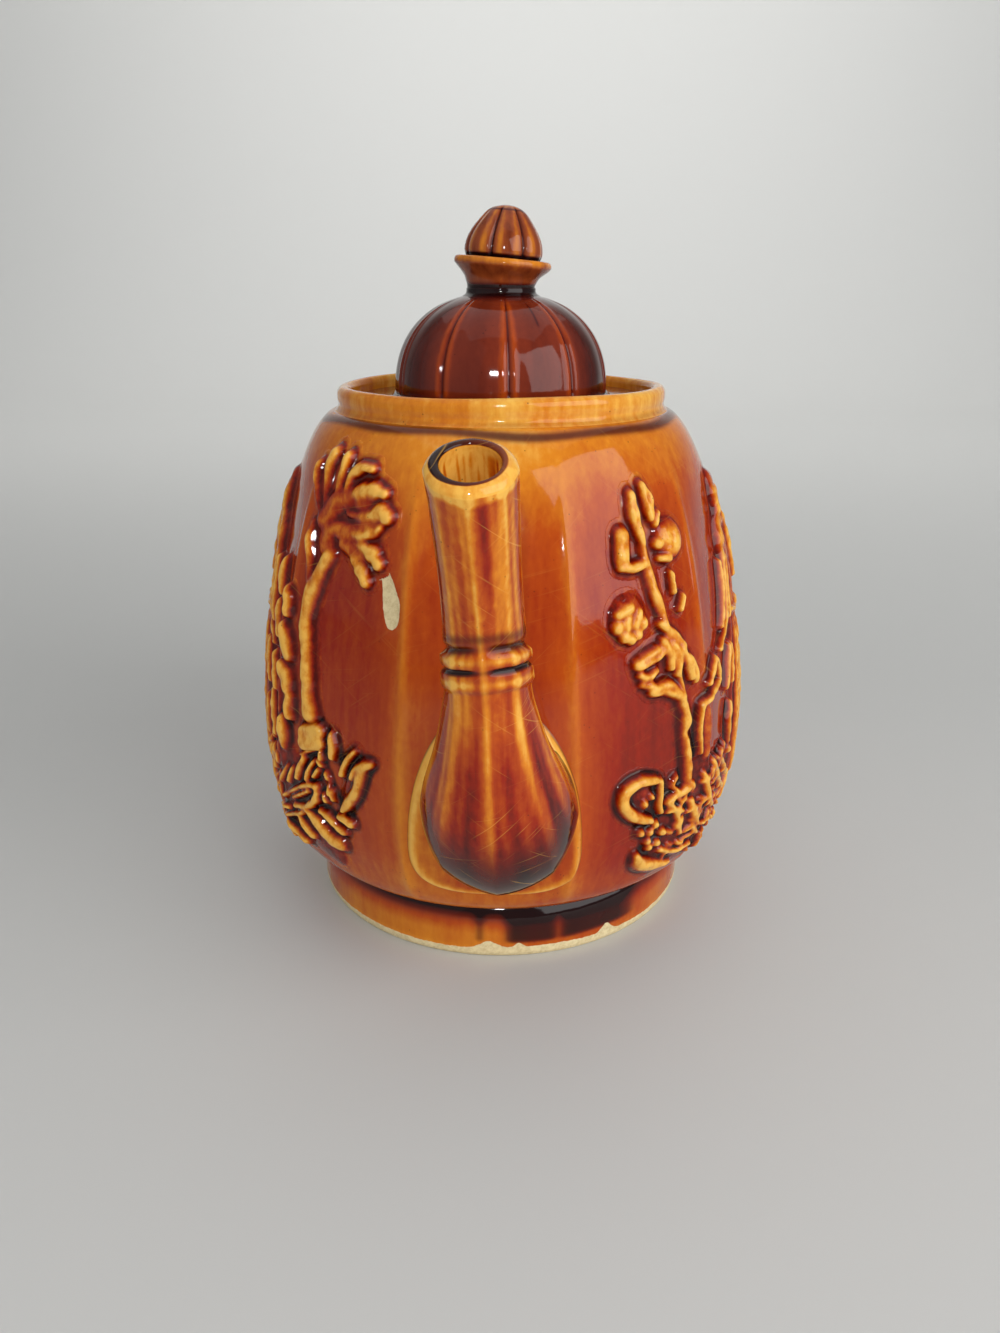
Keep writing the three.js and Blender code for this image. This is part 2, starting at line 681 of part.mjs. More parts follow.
// A standing figure in a hooded robe with long folds, with sashes that hang in front of it
function robedFigure(side) {
  const robe = strip(
    mirrored(side, [
      [83, 17, 10.5],
      [83, 22, 10],
      [83.5, 30, 9],
      [84, 39, 8.2],
      [84, 48, 7.2],
      [83.6, 57, 6.4],
      [83.4, 67, 6.4],
      [83, 77, 6.8],
      [83, 84, 4.6],
    ]),
    RELIEF_RISE,
    3,
    folded,
    8,
  );
  const [sleeveFrom, sleeveTo, hand] = mirrored(side, [[80, 78], [73.5, 63], [70.5, 59]]);
  const sashes = [
    [[72.5, 61.5], [66, 54.5], 1.9],
    [[79, 51], [73, 42], 2.1],
    [[78.5, 39], [72, 28], 2.3],
  ];
  return join(
    robe,
    boss(side * 82.5, 87, 4.6, RELIEF_RISE * 1.15),
    leaf([side * 85, 84], [side * 90, 70], 3.4),
    leaf(sleeveFrom, sleeveTo, 3.4),
    leaf(sleeveTo, hand, 1.8),
    ...sashes.map(([from, to, half]) => leaf(...mirrored(side, [from, to]), half)),
  );
}

// A leafy tree behind the figure
function sideTree(side) {
  const heart = [side * 112, 66];
  const trunk = strip(
    mirrored(side, [
      [110, 22, 4.2],
      [111, 28, 3],
      [112.5, 36, 2.4],
      [113, 45, 2.2],
      [112.5, 54, 2.1],
      [112, 63, 2.2],
      [112, 68, 2.6],
    ]),
  );
  const tips = mirrored(side, [
    [101, 64, 3.8],
    [101.5, 78, 4],
    [111, 87, 4],
    [121, 78, 4],
    [122, 64, 3.8],
  ]);
  return join(trunk, ...tips.map(([angle, percent, half]) => leaf(heart, [angle, percent], half)));
}

// The lid, from the ledge up
const FLANGE_BASE = LEDGE_TOP + SEAM;
const DOME_BASE = FLANGE_BASE + LID_FLANGE_THICKNESS + SEAM;
const NECK_TOP = DOME_BASE + DOME_RISE + NECK_HEIGHT - 1;

function lobed(lobes, groove, offset) {
  return (radius, height, angle) => {
    const fromGroove = THREE.MathUtils.euclideanModulo(angle - offset, 360 / lobes);
    const share = Math.min(fromGroove, 360 / lobes - fromGroove) / (180 / lobes);
    return radius - groove * Math.max(0, 1 - share * 6);
  };
}

// Angles with close steps on either side of each groove
function lobeAngles(lobes, offset) {
  const lobe = 360 / lobes;
  return Array.from({ length: lobes }, (_, i) => offset + i * lobe)
    .flatMap((start) => [start, start + lobe / 12, start + lobe / 2, start + (11 * lobe) / 12]);
}

function domeProfile(shrink, rows) {
  const radius = DOME_RADIUS - shrink;
  const rise = DOME_RISE - shrink;
  return steps(0, 90, rows).map((turn) => {
    const up = Math.sin(radians(turn));
    const part = Math.max(0, 1 - up ** DOME_FULLNESS);
    return [radius * part ** (1 / DOME_FULLNESS), DOME_BASE + rise * up];
  });
}

function lidDome() {
  const outer = domeProfile(0, 7).filter(([radius]) => radius > NECK_RADIUS + 1);
  const inner = domeProfile(DOME_WALL, 5).slice(0, -1).reverse();
  const profile = [
    [0, DOME_BASE + DOME_RISE - DOME_WALL],
    ...inner,
    ...outer,
    [NECK_RADIUS, DOME_BASE + DOME_RISE - 0.6],
    [NECK_RADIUS, NECK_TOP],
    [0, NECK_TOP],
  ];
  const groove = lobed(PANELS, DOME_GROOVE, LID_TURN);
  const shape = (radius, height, angle) => {
    const outside = outer.some(([r, z]) => r === radius && z === height);
    return outside ? groove(radius, height, angle) : radius;
  };
  const vent = new THREE.CylinderGeometry(VENT_RADIUS, VENT_RADIUS, 4 * DOME_WALL, 10);
  vent.rotateX(radians(40));
  vent.translate(0, DOME_RADIUS * 0.72, DOME_BASE + DOME_RISE * 0.76);
  return cut(revolve(profile, lobeAngles(PANELS, LID_TURN), shape), vent);
}

function lidFlange() {
  const inner = DOME_RADIUS - DOME_WALL;
  const outer = GALLERY_RADIUS - LID_CLEARANCE;
  const top = FLANGE_BASE + LID_FLANGE_THICKNESS;
  const profile = [
    [outer, FLANGE_BASE],
    [outer, top - 1.2],
    [outer - 1.6, top],
    [inner, top],
    [inner, FLANGE_BASE],
  ];
  return revolve(profile, ROUND_ANGLES);
}

function lidBezel() {
  const outer = MOUTH_RADIUS - LID_CLEARANCE;
  const inner = outer - BEZEL_WALL;
  const top = FLANGE_BASE - SEAM;
  const profile = [
    [outer, top],
    [outer, top - BEZEL_DEPTH + 1],
    [outer - 0.8, top - BEZEL_DEPTH],
    [inner, top - BEZEL_DEPTH],
    [inner, top],
  ];
  return revolve(profile, ROUND_ANGLES);
}

// The knob sits a little askew on its neck: it leans over more the higher it is
function leaned(geometry, base) {
  const p = geometry.attributes.position;
  const slope = Math.tan(radians(KNOB_TILT));
  for (let i = 0; i < p.count; i++) {
    const up = p.getZ(i) - base;
    const share = THREE.MathUtils.clamp(up / (KNOB_FLANGE_HEIGHT * 0.6), 0, 1);
    p.setZ(i, p.getZ(i) - p.getX(i) * slope * share);
    p.setX(i, p.getX(i) + up * slope);
  }
  return geometry;
}

const KNOB_BASE = NECK_TOP + SEAM;
const BUD_BASE = KNOB_BASE + KNOB_FLANGE_HEIGHT + SEAM;

function knobFlange() {
  const height = KNOB_FLANGE_HEIGHT;
  const profile = [
    [0, KNOB_BASE],
    [NECK_RADIUS - 0.4, KNOB_BASE],
    [NECK_RADIUS + 0.4, KNOB_BASE + height * 0.35],
    [KNOB_FLANGE_RADIUS - 1.4, KNOB_BASE + height * 0.65],
    [KNOB_FLANGE_RADIUS, KNOB_BASE + height * 0.8],
    [KNOB_FLANGE_RADIUS - 0.7, KNOB_BASE + height * 0.92],
    [BUD_RADIUS - 0.6, KNOB_BASE + height],
    [0, KNOB_BASE + height],
  ];
  const angles = steps(0, 360, 24).slice(0, -1);
  return leaned(revolve(profile, angles), KNOB_BASE);
}

function knobBud() {
  const curve = steps(0, 0.92, 5).map((up) => {
    return [BUD_RADIUS * (1 - up ** 1.7) ** 0.62, BUD_BASE + (BUD_HEIGHT - 1) * up];
  });
  const profile = [
    [0, BUD_BASE],
    [BUD_RADIUS - 1.6, BUD_BASE],
    [BUD_RADIUS - 0.3, BUD_BASE + 0.5],
    ...curve.slice(1),
    [BUD_BUTTON_RADIUS, BUD_BASE + BUD_HEIGHT - 0.9],
    [BUD_BUTTON_RADIUS - 0.8, BUD_BASE + BUD_HEIGHT],
    [0, BUD_BASE + BUD_HEIGHT],
  ];
  const groove = lobed(BUD_LOBES, BUD_GROOVE, BUD_TURN);
  const shape = (radius, height, angle) => {
    return radius > BUD_BUTTON_RADIUS + 1 ? groove(radius, height, angle) : radius;
  };
  return leaned(revolve(profile, lobeAngles(BUD_LOBES, BUD_TURN), shape), KNOB_BASE);
}

const teapot = new THREE.Group();

const pot = new THREE.Group();
pot.add(
  glazed('body_shell', bodyShell(), TREACLE),
  glazed('foot_ring', footRing(), BROWN_AMBER),
  glazed('gallery_collar', galleryCollar(), AMBER),
  glazed('spout', spout(), BROWN_AMBER),
  glazed('spout_pad', spoutPad(), AMBER),
  glazed('handle', handle(), BROWN_AMBER),
  glazed('thumb_rest', thumbRest(), AMBER),
);

const strainer = glazed('spout_strainer', spoutStrainer(), BROWN_AMBER, 0.3);
const strainerDepth = wallAt(SPOUT_ROOT_HEIGHT, 0) - STRAINER_THICKNESS - 2 * SEAM;
strainer.position.set(SPOUT_LEAN, -strainerDepth, SPOUT_ROOT_HEIGHT);
pot.add(strainer);

const relief = new THREE.Group();
relief.add(
  glazed('palm_tree', palmTree(), AMBER),
  glazed('palm_rock', palmRock(), BROWN_AMBER),
  glazed('palm_undergrowth', join(undergrowth(-1), leafColumn()), BROWN_AMBER),
  glazed('palm_curled_leaf', curledLeaf(-1), AMBER),
  glazed('climber', climber(), AMBER),
  glazed('tree_stump', treeStump(), BROWN_AMBER),
  glazed('climber_undergrowth', undergrowth(1), BROWN_AMBER),
  glazed('climber_curled_leaf', curledLeaf(1), AMBER),
  glazed('left_figure', robedFigure(-1), AMBER),
  glazed('right_figure', robedFigure(1), AMBER),
  glazed('left_side_tree', sideTree(-1), AMBER),
  glazed('right_side_tree', sideTree(1), AMBER),
);
pot.add(relief);

const lid = new THREE.Group();
lid.add(
  glazed('lid_flange', lidFlange(), DARK_TREACLE),
  glazed('lid_bezel', lidBezel(), BROWN_AMBER),
  glazed('lid_dome', lidDome(), DARK_TREACLE),
  glazed('knob_flange', knobFlange(), TREACLE),
  glazed('knob_bud', knobBud(), TREACLE),
);

teapot.add(pot, lid);

export default teapot;
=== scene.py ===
import math

import bpy
import numpy as np
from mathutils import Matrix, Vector


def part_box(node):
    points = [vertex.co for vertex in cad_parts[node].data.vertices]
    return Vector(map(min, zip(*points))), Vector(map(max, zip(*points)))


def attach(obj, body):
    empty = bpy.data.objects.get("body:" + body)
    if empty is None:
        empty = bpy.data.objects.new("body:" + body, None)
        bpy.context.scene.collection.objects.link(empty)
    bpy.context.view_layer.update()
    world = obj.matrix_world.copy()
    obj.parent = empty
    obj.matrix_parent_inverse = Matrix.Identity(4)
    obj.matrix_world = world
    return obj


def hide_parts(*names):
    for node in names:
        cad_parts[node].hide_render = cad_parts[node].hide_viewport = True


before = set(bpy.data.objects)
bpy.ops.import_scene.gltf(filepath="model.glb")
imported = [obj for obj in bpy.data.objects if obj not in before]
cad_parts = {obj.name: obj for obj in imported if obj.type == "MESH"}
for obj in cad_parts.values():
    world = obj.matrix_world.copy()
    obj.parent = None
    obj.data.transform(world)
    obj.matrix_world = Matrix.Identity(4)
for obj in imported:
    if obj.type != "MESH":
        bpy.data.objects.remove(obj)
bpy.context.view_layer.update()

# Everything below is worked out in millimetres and degrees, and lamps and the camera in metres. Angles
# run from the spout's side of the pot's axis, positive towards +X.
MM = 0.001


def corner(node, which=1):
    """Highest corner of a CAD node, or its lowest where which is 0, in millimetres."""
    return np.array(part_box(node)[which]) / MM


# Sizes read from the frame
FOOT_RADIUS = corner("foot_ring")[0]
FOOT_HEIGHT = corner("foot_ring")[2]
BODY_TOP = corner("body_shell")[2]
BELLY_RADIUS = corner("body_shell")[0]
RIM_HEIGHT = corner("gallery_collar")[2]
LID_BASE = corner("lid_flange", 0)[2]
LID_RADIUS = corner("lid_flange")[0]
BEZEL_RADIUS = corner("lid_bezel")[0]
BEZEL_BASE = corner("lid_bezel", 0)[2]

# The body's outline, as the CAD source has it
SEAM = 0.3
PANELS = 10
HALF_PANEL = 180 / PANELS
BELLY_HEIGHT = 52
SHOULDER_RADIUS = 46.2
SHOULDER_HEIGHT = 143.2
FOOT_WIDTH = 6.8
FOOT_GROOVE = 1.5
WALL_BASE = FOOT_HEIGHT + SEAM + FOOT_GROOVE
UNDERSIDE_FULLNESS = 2.4
SHOULDER_RISE = 1.65
SHOULDER_ROUNDNESS = 0.615
PANEL_DIP = 1.9
RIB_FADE_BELOW = 12
RIB_FADE_ABOVE = 30
BODY_WALL = 5.5
FLOOR_THICKNESS = 4.5
COLLAR_RADIUS = 45.4
COLLAR_WALL = 3.7
LEDGE_DEPTH = 6.4
LEDGE_WIDTH = 5.4
LEDGE_TOP = RIM_HEIGHT - LEDGE_DEPTH
LEDGE_RADIUS = COLLAR_RADIUS - COLLAR_WALL
MOUTH_RADIUS = LEDGE_RADIUS - LEDGE_WIDTH


def sine(degrees):
    return np.sin(np.radians(degrees))


def cosine(degrees):
    return np.cos(np.radians(degrees))


def from_spout(angle):
    """The angle as -180 to 180 degrees, 0 on the spout's side."""
    return np.mod(angle + 180, 360) - 180


def full_turn(columns):
    """One row of evenly spaced angles."""
    return np.arange(columns)[None] * 360 / columns


def smoothstep(low, high, value):
    """0 at low and 1 at high, with soft ends; high may lie below low."""
    share = np.clip((value - low) / (high - low), 0, 1)
    return share * share * (3 - 2 * share)


def bump(distance, width):
    """1 at no distance, falling softly to about a third at the width."""
    return np.exp(-((distance / width) ** 2))


def wall_radius(z):
    """Radius of the body at its ribs, without the panels."""
    z = np.asarray(z, float)
    foot = FOOT_RADIUS - FOOT_GROOVE
    down = np.clip((BELLY_HEIGHT - z) / (BELLY_HEIGHT - WALL_BASE), 0, 1)
    up = np.clip((z - BELLY_HEIGHT) / (SHOULDER_HEIGHT - BELLY_HEIGHT), 0, 1)
    under = foot + (BELLY_RADIUS - foot) * (1 - down**UNDERSIDE_FULLNESS) ** (1 / UNDERSIDE_FULLNESS)
    over = (BELLY_RADIUS - SHOULDER_RADIUS) * (1 - up**SHOULDER_RISE) ** SHOULDER_ROUNDNESS
    return np.where(z <= BELLY_HEIGHT, under, SHOULDER_RADIUS + over)


def from_rib(angle):
    """Degrees from the nearest rib between two panels."""
    share = np.mod(np.asarray(angle, float) - HALF_PANEL, 2 * HALF_PANEL)
    return np.minimum(share, 2 * HALF_PANEL - share)


def panel_fade(z):
    """0 where the panels end at the foot and the shoulder, 1 between."""
    above = 1 - smoothstep(BODY_TOP - RIB_FADE_ABOVE, BODY_TOP, z)
    return smoothstep(WALL_BASE, WALL_BASE + RIB_FADE_BELOW, z) * above


def panel_dip(angle, z):
    """The panels are nearly flat, with a narrow soft rib between two of them."""
    away = np.sin(np.radians(from_rib(angle) * 90 / HALF_PANEL))
    soft = 0.07
    flat = (np.sqrt(away**2 + soft**2) - soft) / (math.sqrt(1 + soft**2) - soft)
    bead = 0.35 * bump(from_rib(angle), 1.1)
    return (PANEL_DIP * flat - bead) * panel_fade(z)


def wall(angle, z):
    """Radius of the body with its panels."""
    return wall_radius(z) - panel_dip(angle, z)


def spot(radius, angle, z):
    """Points in metres from a radius, an angle and a height."""
    parts = np.broadcast_arrays(radius * sine(angle), -radius * cosine(angle), np.asarray(z, float))
    return np.stack(parts, -1) * MM


# Mesh making


def make_mesh(name, points, faces, values):
    """A mesh from points and quads or triangles, smooth shaded, with one float per point by name."""
    mesh = bpy.data.meshes.new(name)
    sizes = np.concatenate([np.full(len(block), block.shape[1]) for block in faces])
    loops = np.concatenate([block.ravel() for block in faces]).astype(np.int32)
    mesh.vertices.add(len(points))
    mesh.vertices.foreach_set("co", points.astype(np.float32).ravel())
    mesh.loops.add(len(loops))
    mesh.loops.foreach_set("vertex_index", loops)
    mesh.polygons.add(len(sizes))
    starts = np.concatenate([[0], np.cumsum(sizes)[:-1]]).astype(np.int32)
    mesh.polygons.foreach_set("loop_start", starts)
    mesh.update(calc_edges=True)
    mesh.validate()
    mesh.shade_smooth()
    for key, value in values.items():
        attribute = mesh.attributes.new(key, "FLOAT", "POINT")
        attribute.data.foreach_set("value", np.asarray(value, np.float32).ravel())
    return mesh


def signed_volume(points, faces):
    total = 0.0
    for block in faces:
        for k in range(1, block.shape[1] - 1):
            a, b, c = points[block[:, 0]], points[block[:, k]], points[block[:, k + 1]]
            total += np.einsum("ij,ij->i", a, np.cross(b, c)).sum()
    return total


def closed_mesh(name, points, faces, values):
    """A mesh as above, with its faces turned outwards."""
    if signed_volume(points, faces) < 0:
        faces = [block[:, ::-1] for block in faces]
    return make_mesh(name, points, faces, values)


def skin(name, rows, loop=False, **values):
    """A closed surface from rows of points, shape (rows, columns, 3). It closes round each row, and
    from the last row to the first, or else with a fan at both ends. Values have one number a point,
    cut off below 0 and above 1."""
    count, columns = rows.shape[:2]
    ids = np.arange(count * columns).reshape(count, columns)
    upper = np.roll(ids, -1, 0) if loop else ids[1:]
    lower = ids if loop else ids[:-1]
    quads = np.stack([lower, np.roll(lower, -1, 1), np.roll(upper, -1, 1), upper], -1).reshape(-1, 4)
    points = rows.reshape(-1, 3)
    values = {
        key: np.clip(np.broadcast_to(value, (count, columns)), 0, 1).reshape(-1)
        for key, value in values.items()
    }
    faces = [quads]
    if not loop:
        tips = [len(points), len(points) + 1]
        points = np.concatenate([points, rows[[0, -1]].mean(1)])
        values = {
            key: np.concatenate([value, [value[:columns].mean()], [value[-columns:].mean()]])
            for key, value in values.items()
        }
        first, last = ids[0], ids[-1]
        faces.append(np.stack([np.roll(first, -1), first, np.full(columns, tips[0])], -1))
        faces.append(np.stack([last, np.roll(last, -1), np.full(columns, tips[1])], -1))
    return closed_mesh(name, points, faces, values)


def add_piece(name, mesh, body, slot, material, *nodes):
    """An object on a body of the frame, in place of these CAD nodes."""
    piece = bpy.data.objects.new(name, mesh)
    bpy.context.scene.collection.objects.link(piece)
    mesh.materials.append(material)
    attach(piece, body)
    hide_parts(*nodes)
    return piece


def resample(profile, step):
    """Evenly spaced points along an outline of straight runs, corners kept."""
    profile = np.asarray(profile, float)
    out = [profile[:1]]
    for start, end in zip(profile[:-1], profile[1:]):
        count = max(1, math.ceil(np.linalg.norm(end - start) / step))
        out.append(start + (end - start) * (np.arange(1, count + 1) / count)[:, None])
    return np.concatenate(out)


def rounded(profile, radius, closed=False):
    """An outline with its corners rounded by arcs of at most this radius."""
    profile = [np.asarray(p, float) for p in profile]
    count = len(profile)
    out = []
    for i, here in enumerate(profile):
        if not closed and i in (0, count - 1):
            out.append(here)
            continue
        before, after = profile[i - 1], profile[(i + 1) % count]
        back, ahead = np.linalg.norm(before - here), np.linalg.norm(after - here)
        reach = min(radius, 0.45 * back, 0.45 * ahead)
        start = here + (before - here) / back * reach
        end = here + (after - here) / ahead * reach
        for share in np.linspace(0, 1, 6):
            out.append((1 - share) ** 2 * start + 2 * share * (1 - share) * here + share**2 * end)
    return out


def smooth_line(points, count):
    """A Catmull-Rom line through rows of numbers."""
    points = np.asarray(points, float)
    padded = np.concatenate([[2 * points[0] - points[1]], points, [2 * points[-1] - points[-2]]])
    place = np.linspace(0, len(points) - 1, count)
    i = np.minimum(place.astype(int), len(points) - 2)
    t = (place - i)[:, None]
    a, b, c, d = padded[i], padded[i + 1], padded[i + 2], padded[i + 3]
    square, cube = 2 * a - 5 * b + 4 * c - d, 3 * b - a - 3 * c + d
    return 0.5 * (2 * b + (c - a) * t + square * t**2 + cube * t**3)


# Relief: each sprig is painted as a height map on the wall, one row a height and one column an angle
ANGLE_STEP = 0.25
HEIGHT_STEP = 0.3
MAP_ANGLES = np.arange(-180, 180, ANGLE_STEP)
MAP_HEIGHTS = np.arange(18.5, 142.1, HEIGHT_STEP)
MAP_LEAST_RADIUS = 46  # of the wall between the map's heights
RELIEF_RISE = 3.0
SPREAD = 1.18  # the strips' real half width over the half width of their light crest
LINE_STEPS = 8  # short runs for each point of a strip
SCALLOP = 0.14  # how far lobes change a strip's width
BACK_DEPTH = 1.1  # of the sprigs' backs behind the wall's face


def box_blurred(values, half, axis):
    """Values averaged with this many neighbours on both sides, three times; columns wrap round."""
    pad = [(half + 1, half) if k == axis else (0, 0) for k in (0, 1)]
    for _ in range(3):
        total = np.cumsum(np.pad(values, pad, mode="wrap" if axis else "edge"), axis=axis)
        ahead = np.take(total, np.arange(2 * half + 1, total.shape[axis]), axis=axis)
        behind = np.take(total, np.arange(total.shape[axis] - 2 * half - 1), axis=axis)
        values = (ahead - behind) / (2 * half + 1)
    return values


def blurred(heights, size):
    """Height map blurred over about this many millimetres."""
    half = max(1, round(size / HEIGHT_STEP / 1.7))
    return box_blurred(box_blurred(heights, half, 0), half, 1)


def runs_along(rows, columns, chosen, length=24):
    """Uneven streaks that run from row to row, mostly between -2 and 2."""
    spare = 3 * length
    noise = np.random.default_rng(chosen).normal(size=(rows + 2 * spare, columns))
    noise = box_blurred(box_blurred(noise, 1, 1), length, 0)[spare:-spare]
    return noise / noise.std()


# Sections of a strip: its lift, 0 to 1, by place across it (-1 to 1) and along it (0 to 1)


def round_section(side, along, style):
    return np.clip(1 - np.abs(side) ** 2.2, 0, 1) ** 0.7


def leaf_section(side, along, style):
    veins = style.get("veins", 6)
    rib = 0.25 * bump(side, 0.14)
    grooves = 0.12 * np.cos(2 * math.pi * veins * (along - 0.22 * np.abs(side)))
    return round_section(side, along, style) * (1 - rib + grooves * smoothstep(0.1, 0.5, np.abs(side)))


def bark_section(side, along, style):
    rings = 0.05 * np.cos(2 * math.pi * style.get("rings", 9) * along)
    return round_section(side, along, style) * (0.97 + rings)


def block_section(side, along, style):
    return np.clip(1 - np.abs(side) ** 6, 0, 1) ** 0.5


def cloth_section(side, along, style):
    folds = style.get("folds", 3)
    sway = style.get("sway", 0.4) * np.sin(3 * along)
    wave = 0.20 * np.cos(math.pi * folds * (side + sway)) * smoothstep(0.0, 0.35, 1 - along)
    return np.clip(1 - np.abs(side) ** 3, 0, 1) ** 0.5 * (0.8 + wave)


SECTIONS = {
    "round": round_section,
    "leaf": leaf_section,
    "bark": bark_section,
    "block": block_section,
    "cloth": cloth_section,
}


def blank():
    """A height map without relief."""
    return np.zeros((len(MAP_HEIGHTS), len(MAP_ANGLES)))


def stroke(heights, points, rise=1.0, section="round", lobes=0, **style):
    """Paints one strip on a height map. points are (angle, height, half width) and may end in the
    share of the rise that the strip has there; rise is a share of the relief's full height; lobes
    scallop its edges."""
    points = np.array([(*point, 1.0)[:4] for point in points], float)
    points[:, 2] *= SPREAD
    middle = points[:, 0].mean()
    points[:, 0] = np.radians(points[:, 0] - middle) * wall_radius(points[:, 1])
    line = smooth_line(points, LINE_STEPS * len(points))
    # Only the part of the map round the strip is worked on
    reach = line[:, 2].max() * 1.35 + 0.5
    lowest, highest = line[:, 1].min() - reach, line[:, 1].max() + reach
    rows = np.nonzero((MAP_HEIGHTS > lowest) & (MAP_HEIGHTS < highest))[0]
    widest = np.degrees((np.abs(line[:, 0]).max() + reach) / MAP_LEAST_RADIUS)
    columns = np.nonzero(np.abs(MAP_ANGLES - middle) < widest)[0]
    z = MAP_HEIGHTS[rows][:, None]
    grid_x = np.radians(MAP_ANGLES[columns][None] - middle) * wall_radius(z)
    best = np.full(grid_x.shape, 9.0)
    side = np.zeros_like(best)
    along = np.zeros_like(best)
    level = np.zeros_like(best)
    steps = len(line) - 1
    for k in range(steps):
        run = line[k + 1, :2] - line[k, :2]
        length = max(1e-6, np.hypot(*run))
        share = ((grid_x - line[k, 0]) * run[0] + (z - line[k, 1]) * run[1]) / length**2
        share = np.clip(share, 0, 1)
        dx = grid_x - line[k, 0] - run[0] * share
        dz = z - line[k, 1] - run[1] * share
        t = (k + share) / steps
        half = line[k, 2] + (line[k + 1, 2] - line[k, 2]) * share
        if lobes:
            half = half * (1 + SCALLOP * np.cos(2 * math.pi * lobes * t))
        ratio = np.hypot(dx, dz) / np.maximum(half, 0.15)
        closer = ratio < best
        sign = np.where(run[0] * dz - run[1] * dx >= 0, 1, -1)
        side = np.where(closer, ratio * sign, side)
        along = np.where(closer, t, along)
        level = np.where(closer, line[k, 3] + (line[k + 1, 3] - line[k, 3]) * share, level)
        best = np.where(closer, ratio, best)
    lift = SECTIONS[section](np.clip(side, -1, 1), along, style) * level * rise * RELIEF_RISE
    window = np.ix_(rows, columns)
    heights[window] = np.maximum(heights[window], np.where(best < 1, lift, 0))


def strokes(heights, lines, rise=1.0, section="round", side=1, **style):
    """Paints several strips alike; side -1 puts them at the opposite angles."""
    for line in lines:
        stroke(heights, [(side * point[0], *point[1:]) for point in line], rise, section, **style)


def disc(heights, angle, z, radius, rise=1.0, **style):
    stroke(heights, [(angle, z - 0.05, radius), (angle, z + 0.05, radius)], rise, **style)


def around(angle, z, turn, reach):
    """The place at a distance from another on the wall; turn 0 is up and 90 towards +X."""
    across = math.degrees(reach * math.sin(math.radians(turn)) / float(wall_radius(z)))
    return angle + across, z + reach * math.cos(math.radians(turn))


def tangle(heights, chosen, count, low, high, rise, length=3.4):
    """Many short curved strokes thrown over the patch between two corners (angle, height)."""
    dice = np.random.default_rng(chosen)
    for _ in range(count):
        angle, z = dice.uniform(low[0], high[0]), dice.uniform(low[1], high[1])
        turn, bend = dice.uniform(0, 360), dice.uniform(-50, 50)
        size, half = dice.uniform(0.7, 1.2) * length, dice.uniform(0.65, 1.05)
        tip = around(angle, z, turn, size / 2)
        tail = around(angle, z, turn + 180 + bend, size / 2)
        line = [(*tail, 0.8 * half), (angle, z, half), (*tip, 0.7 * half)]
        stroke(heights, line, rise * dice.uniform(0.75, 1.1))


def bloom(heights, angle, z, radius):
    """A round flower head: a dome with a few folds and a bumpy rim below."""
    disc(heights, angle, z + 0.1 * radius, 0.86 * radius, 0.74)
    rim = [(-152, 0.66, 0.3), (-105, 0.62, 0.34), (150, 0.68, 0.28), (104, 0.66, 0.32), (180, 0.7, 0.3)]
    for turn, reach, size in rim:
        disc(heights, *around(angle, z, turn, radius * reach), radius * size)
    folds = [
        [(-60, 0.66, 0.2), (-30, 0.5, 0.26), (8, 0.56, 0.2)],
        [(60, 0.62, 0.18), (84, 0.36, 0.24), (130, 0.34, 0.18)],
        [(-140, 0.34, 0.16), (-90, 0.2, 0.22), (-20, 0.16, 0.16)],
    ]
    for fold in folds:
        line = [(*around(angle, z, turn, radius * reach), radius * size) for turn, reach, size in fold]
        stroke(heights, line, 0.98)


# The sprigs; each strip's points are (angle, height, half width) and at times the share of the rise


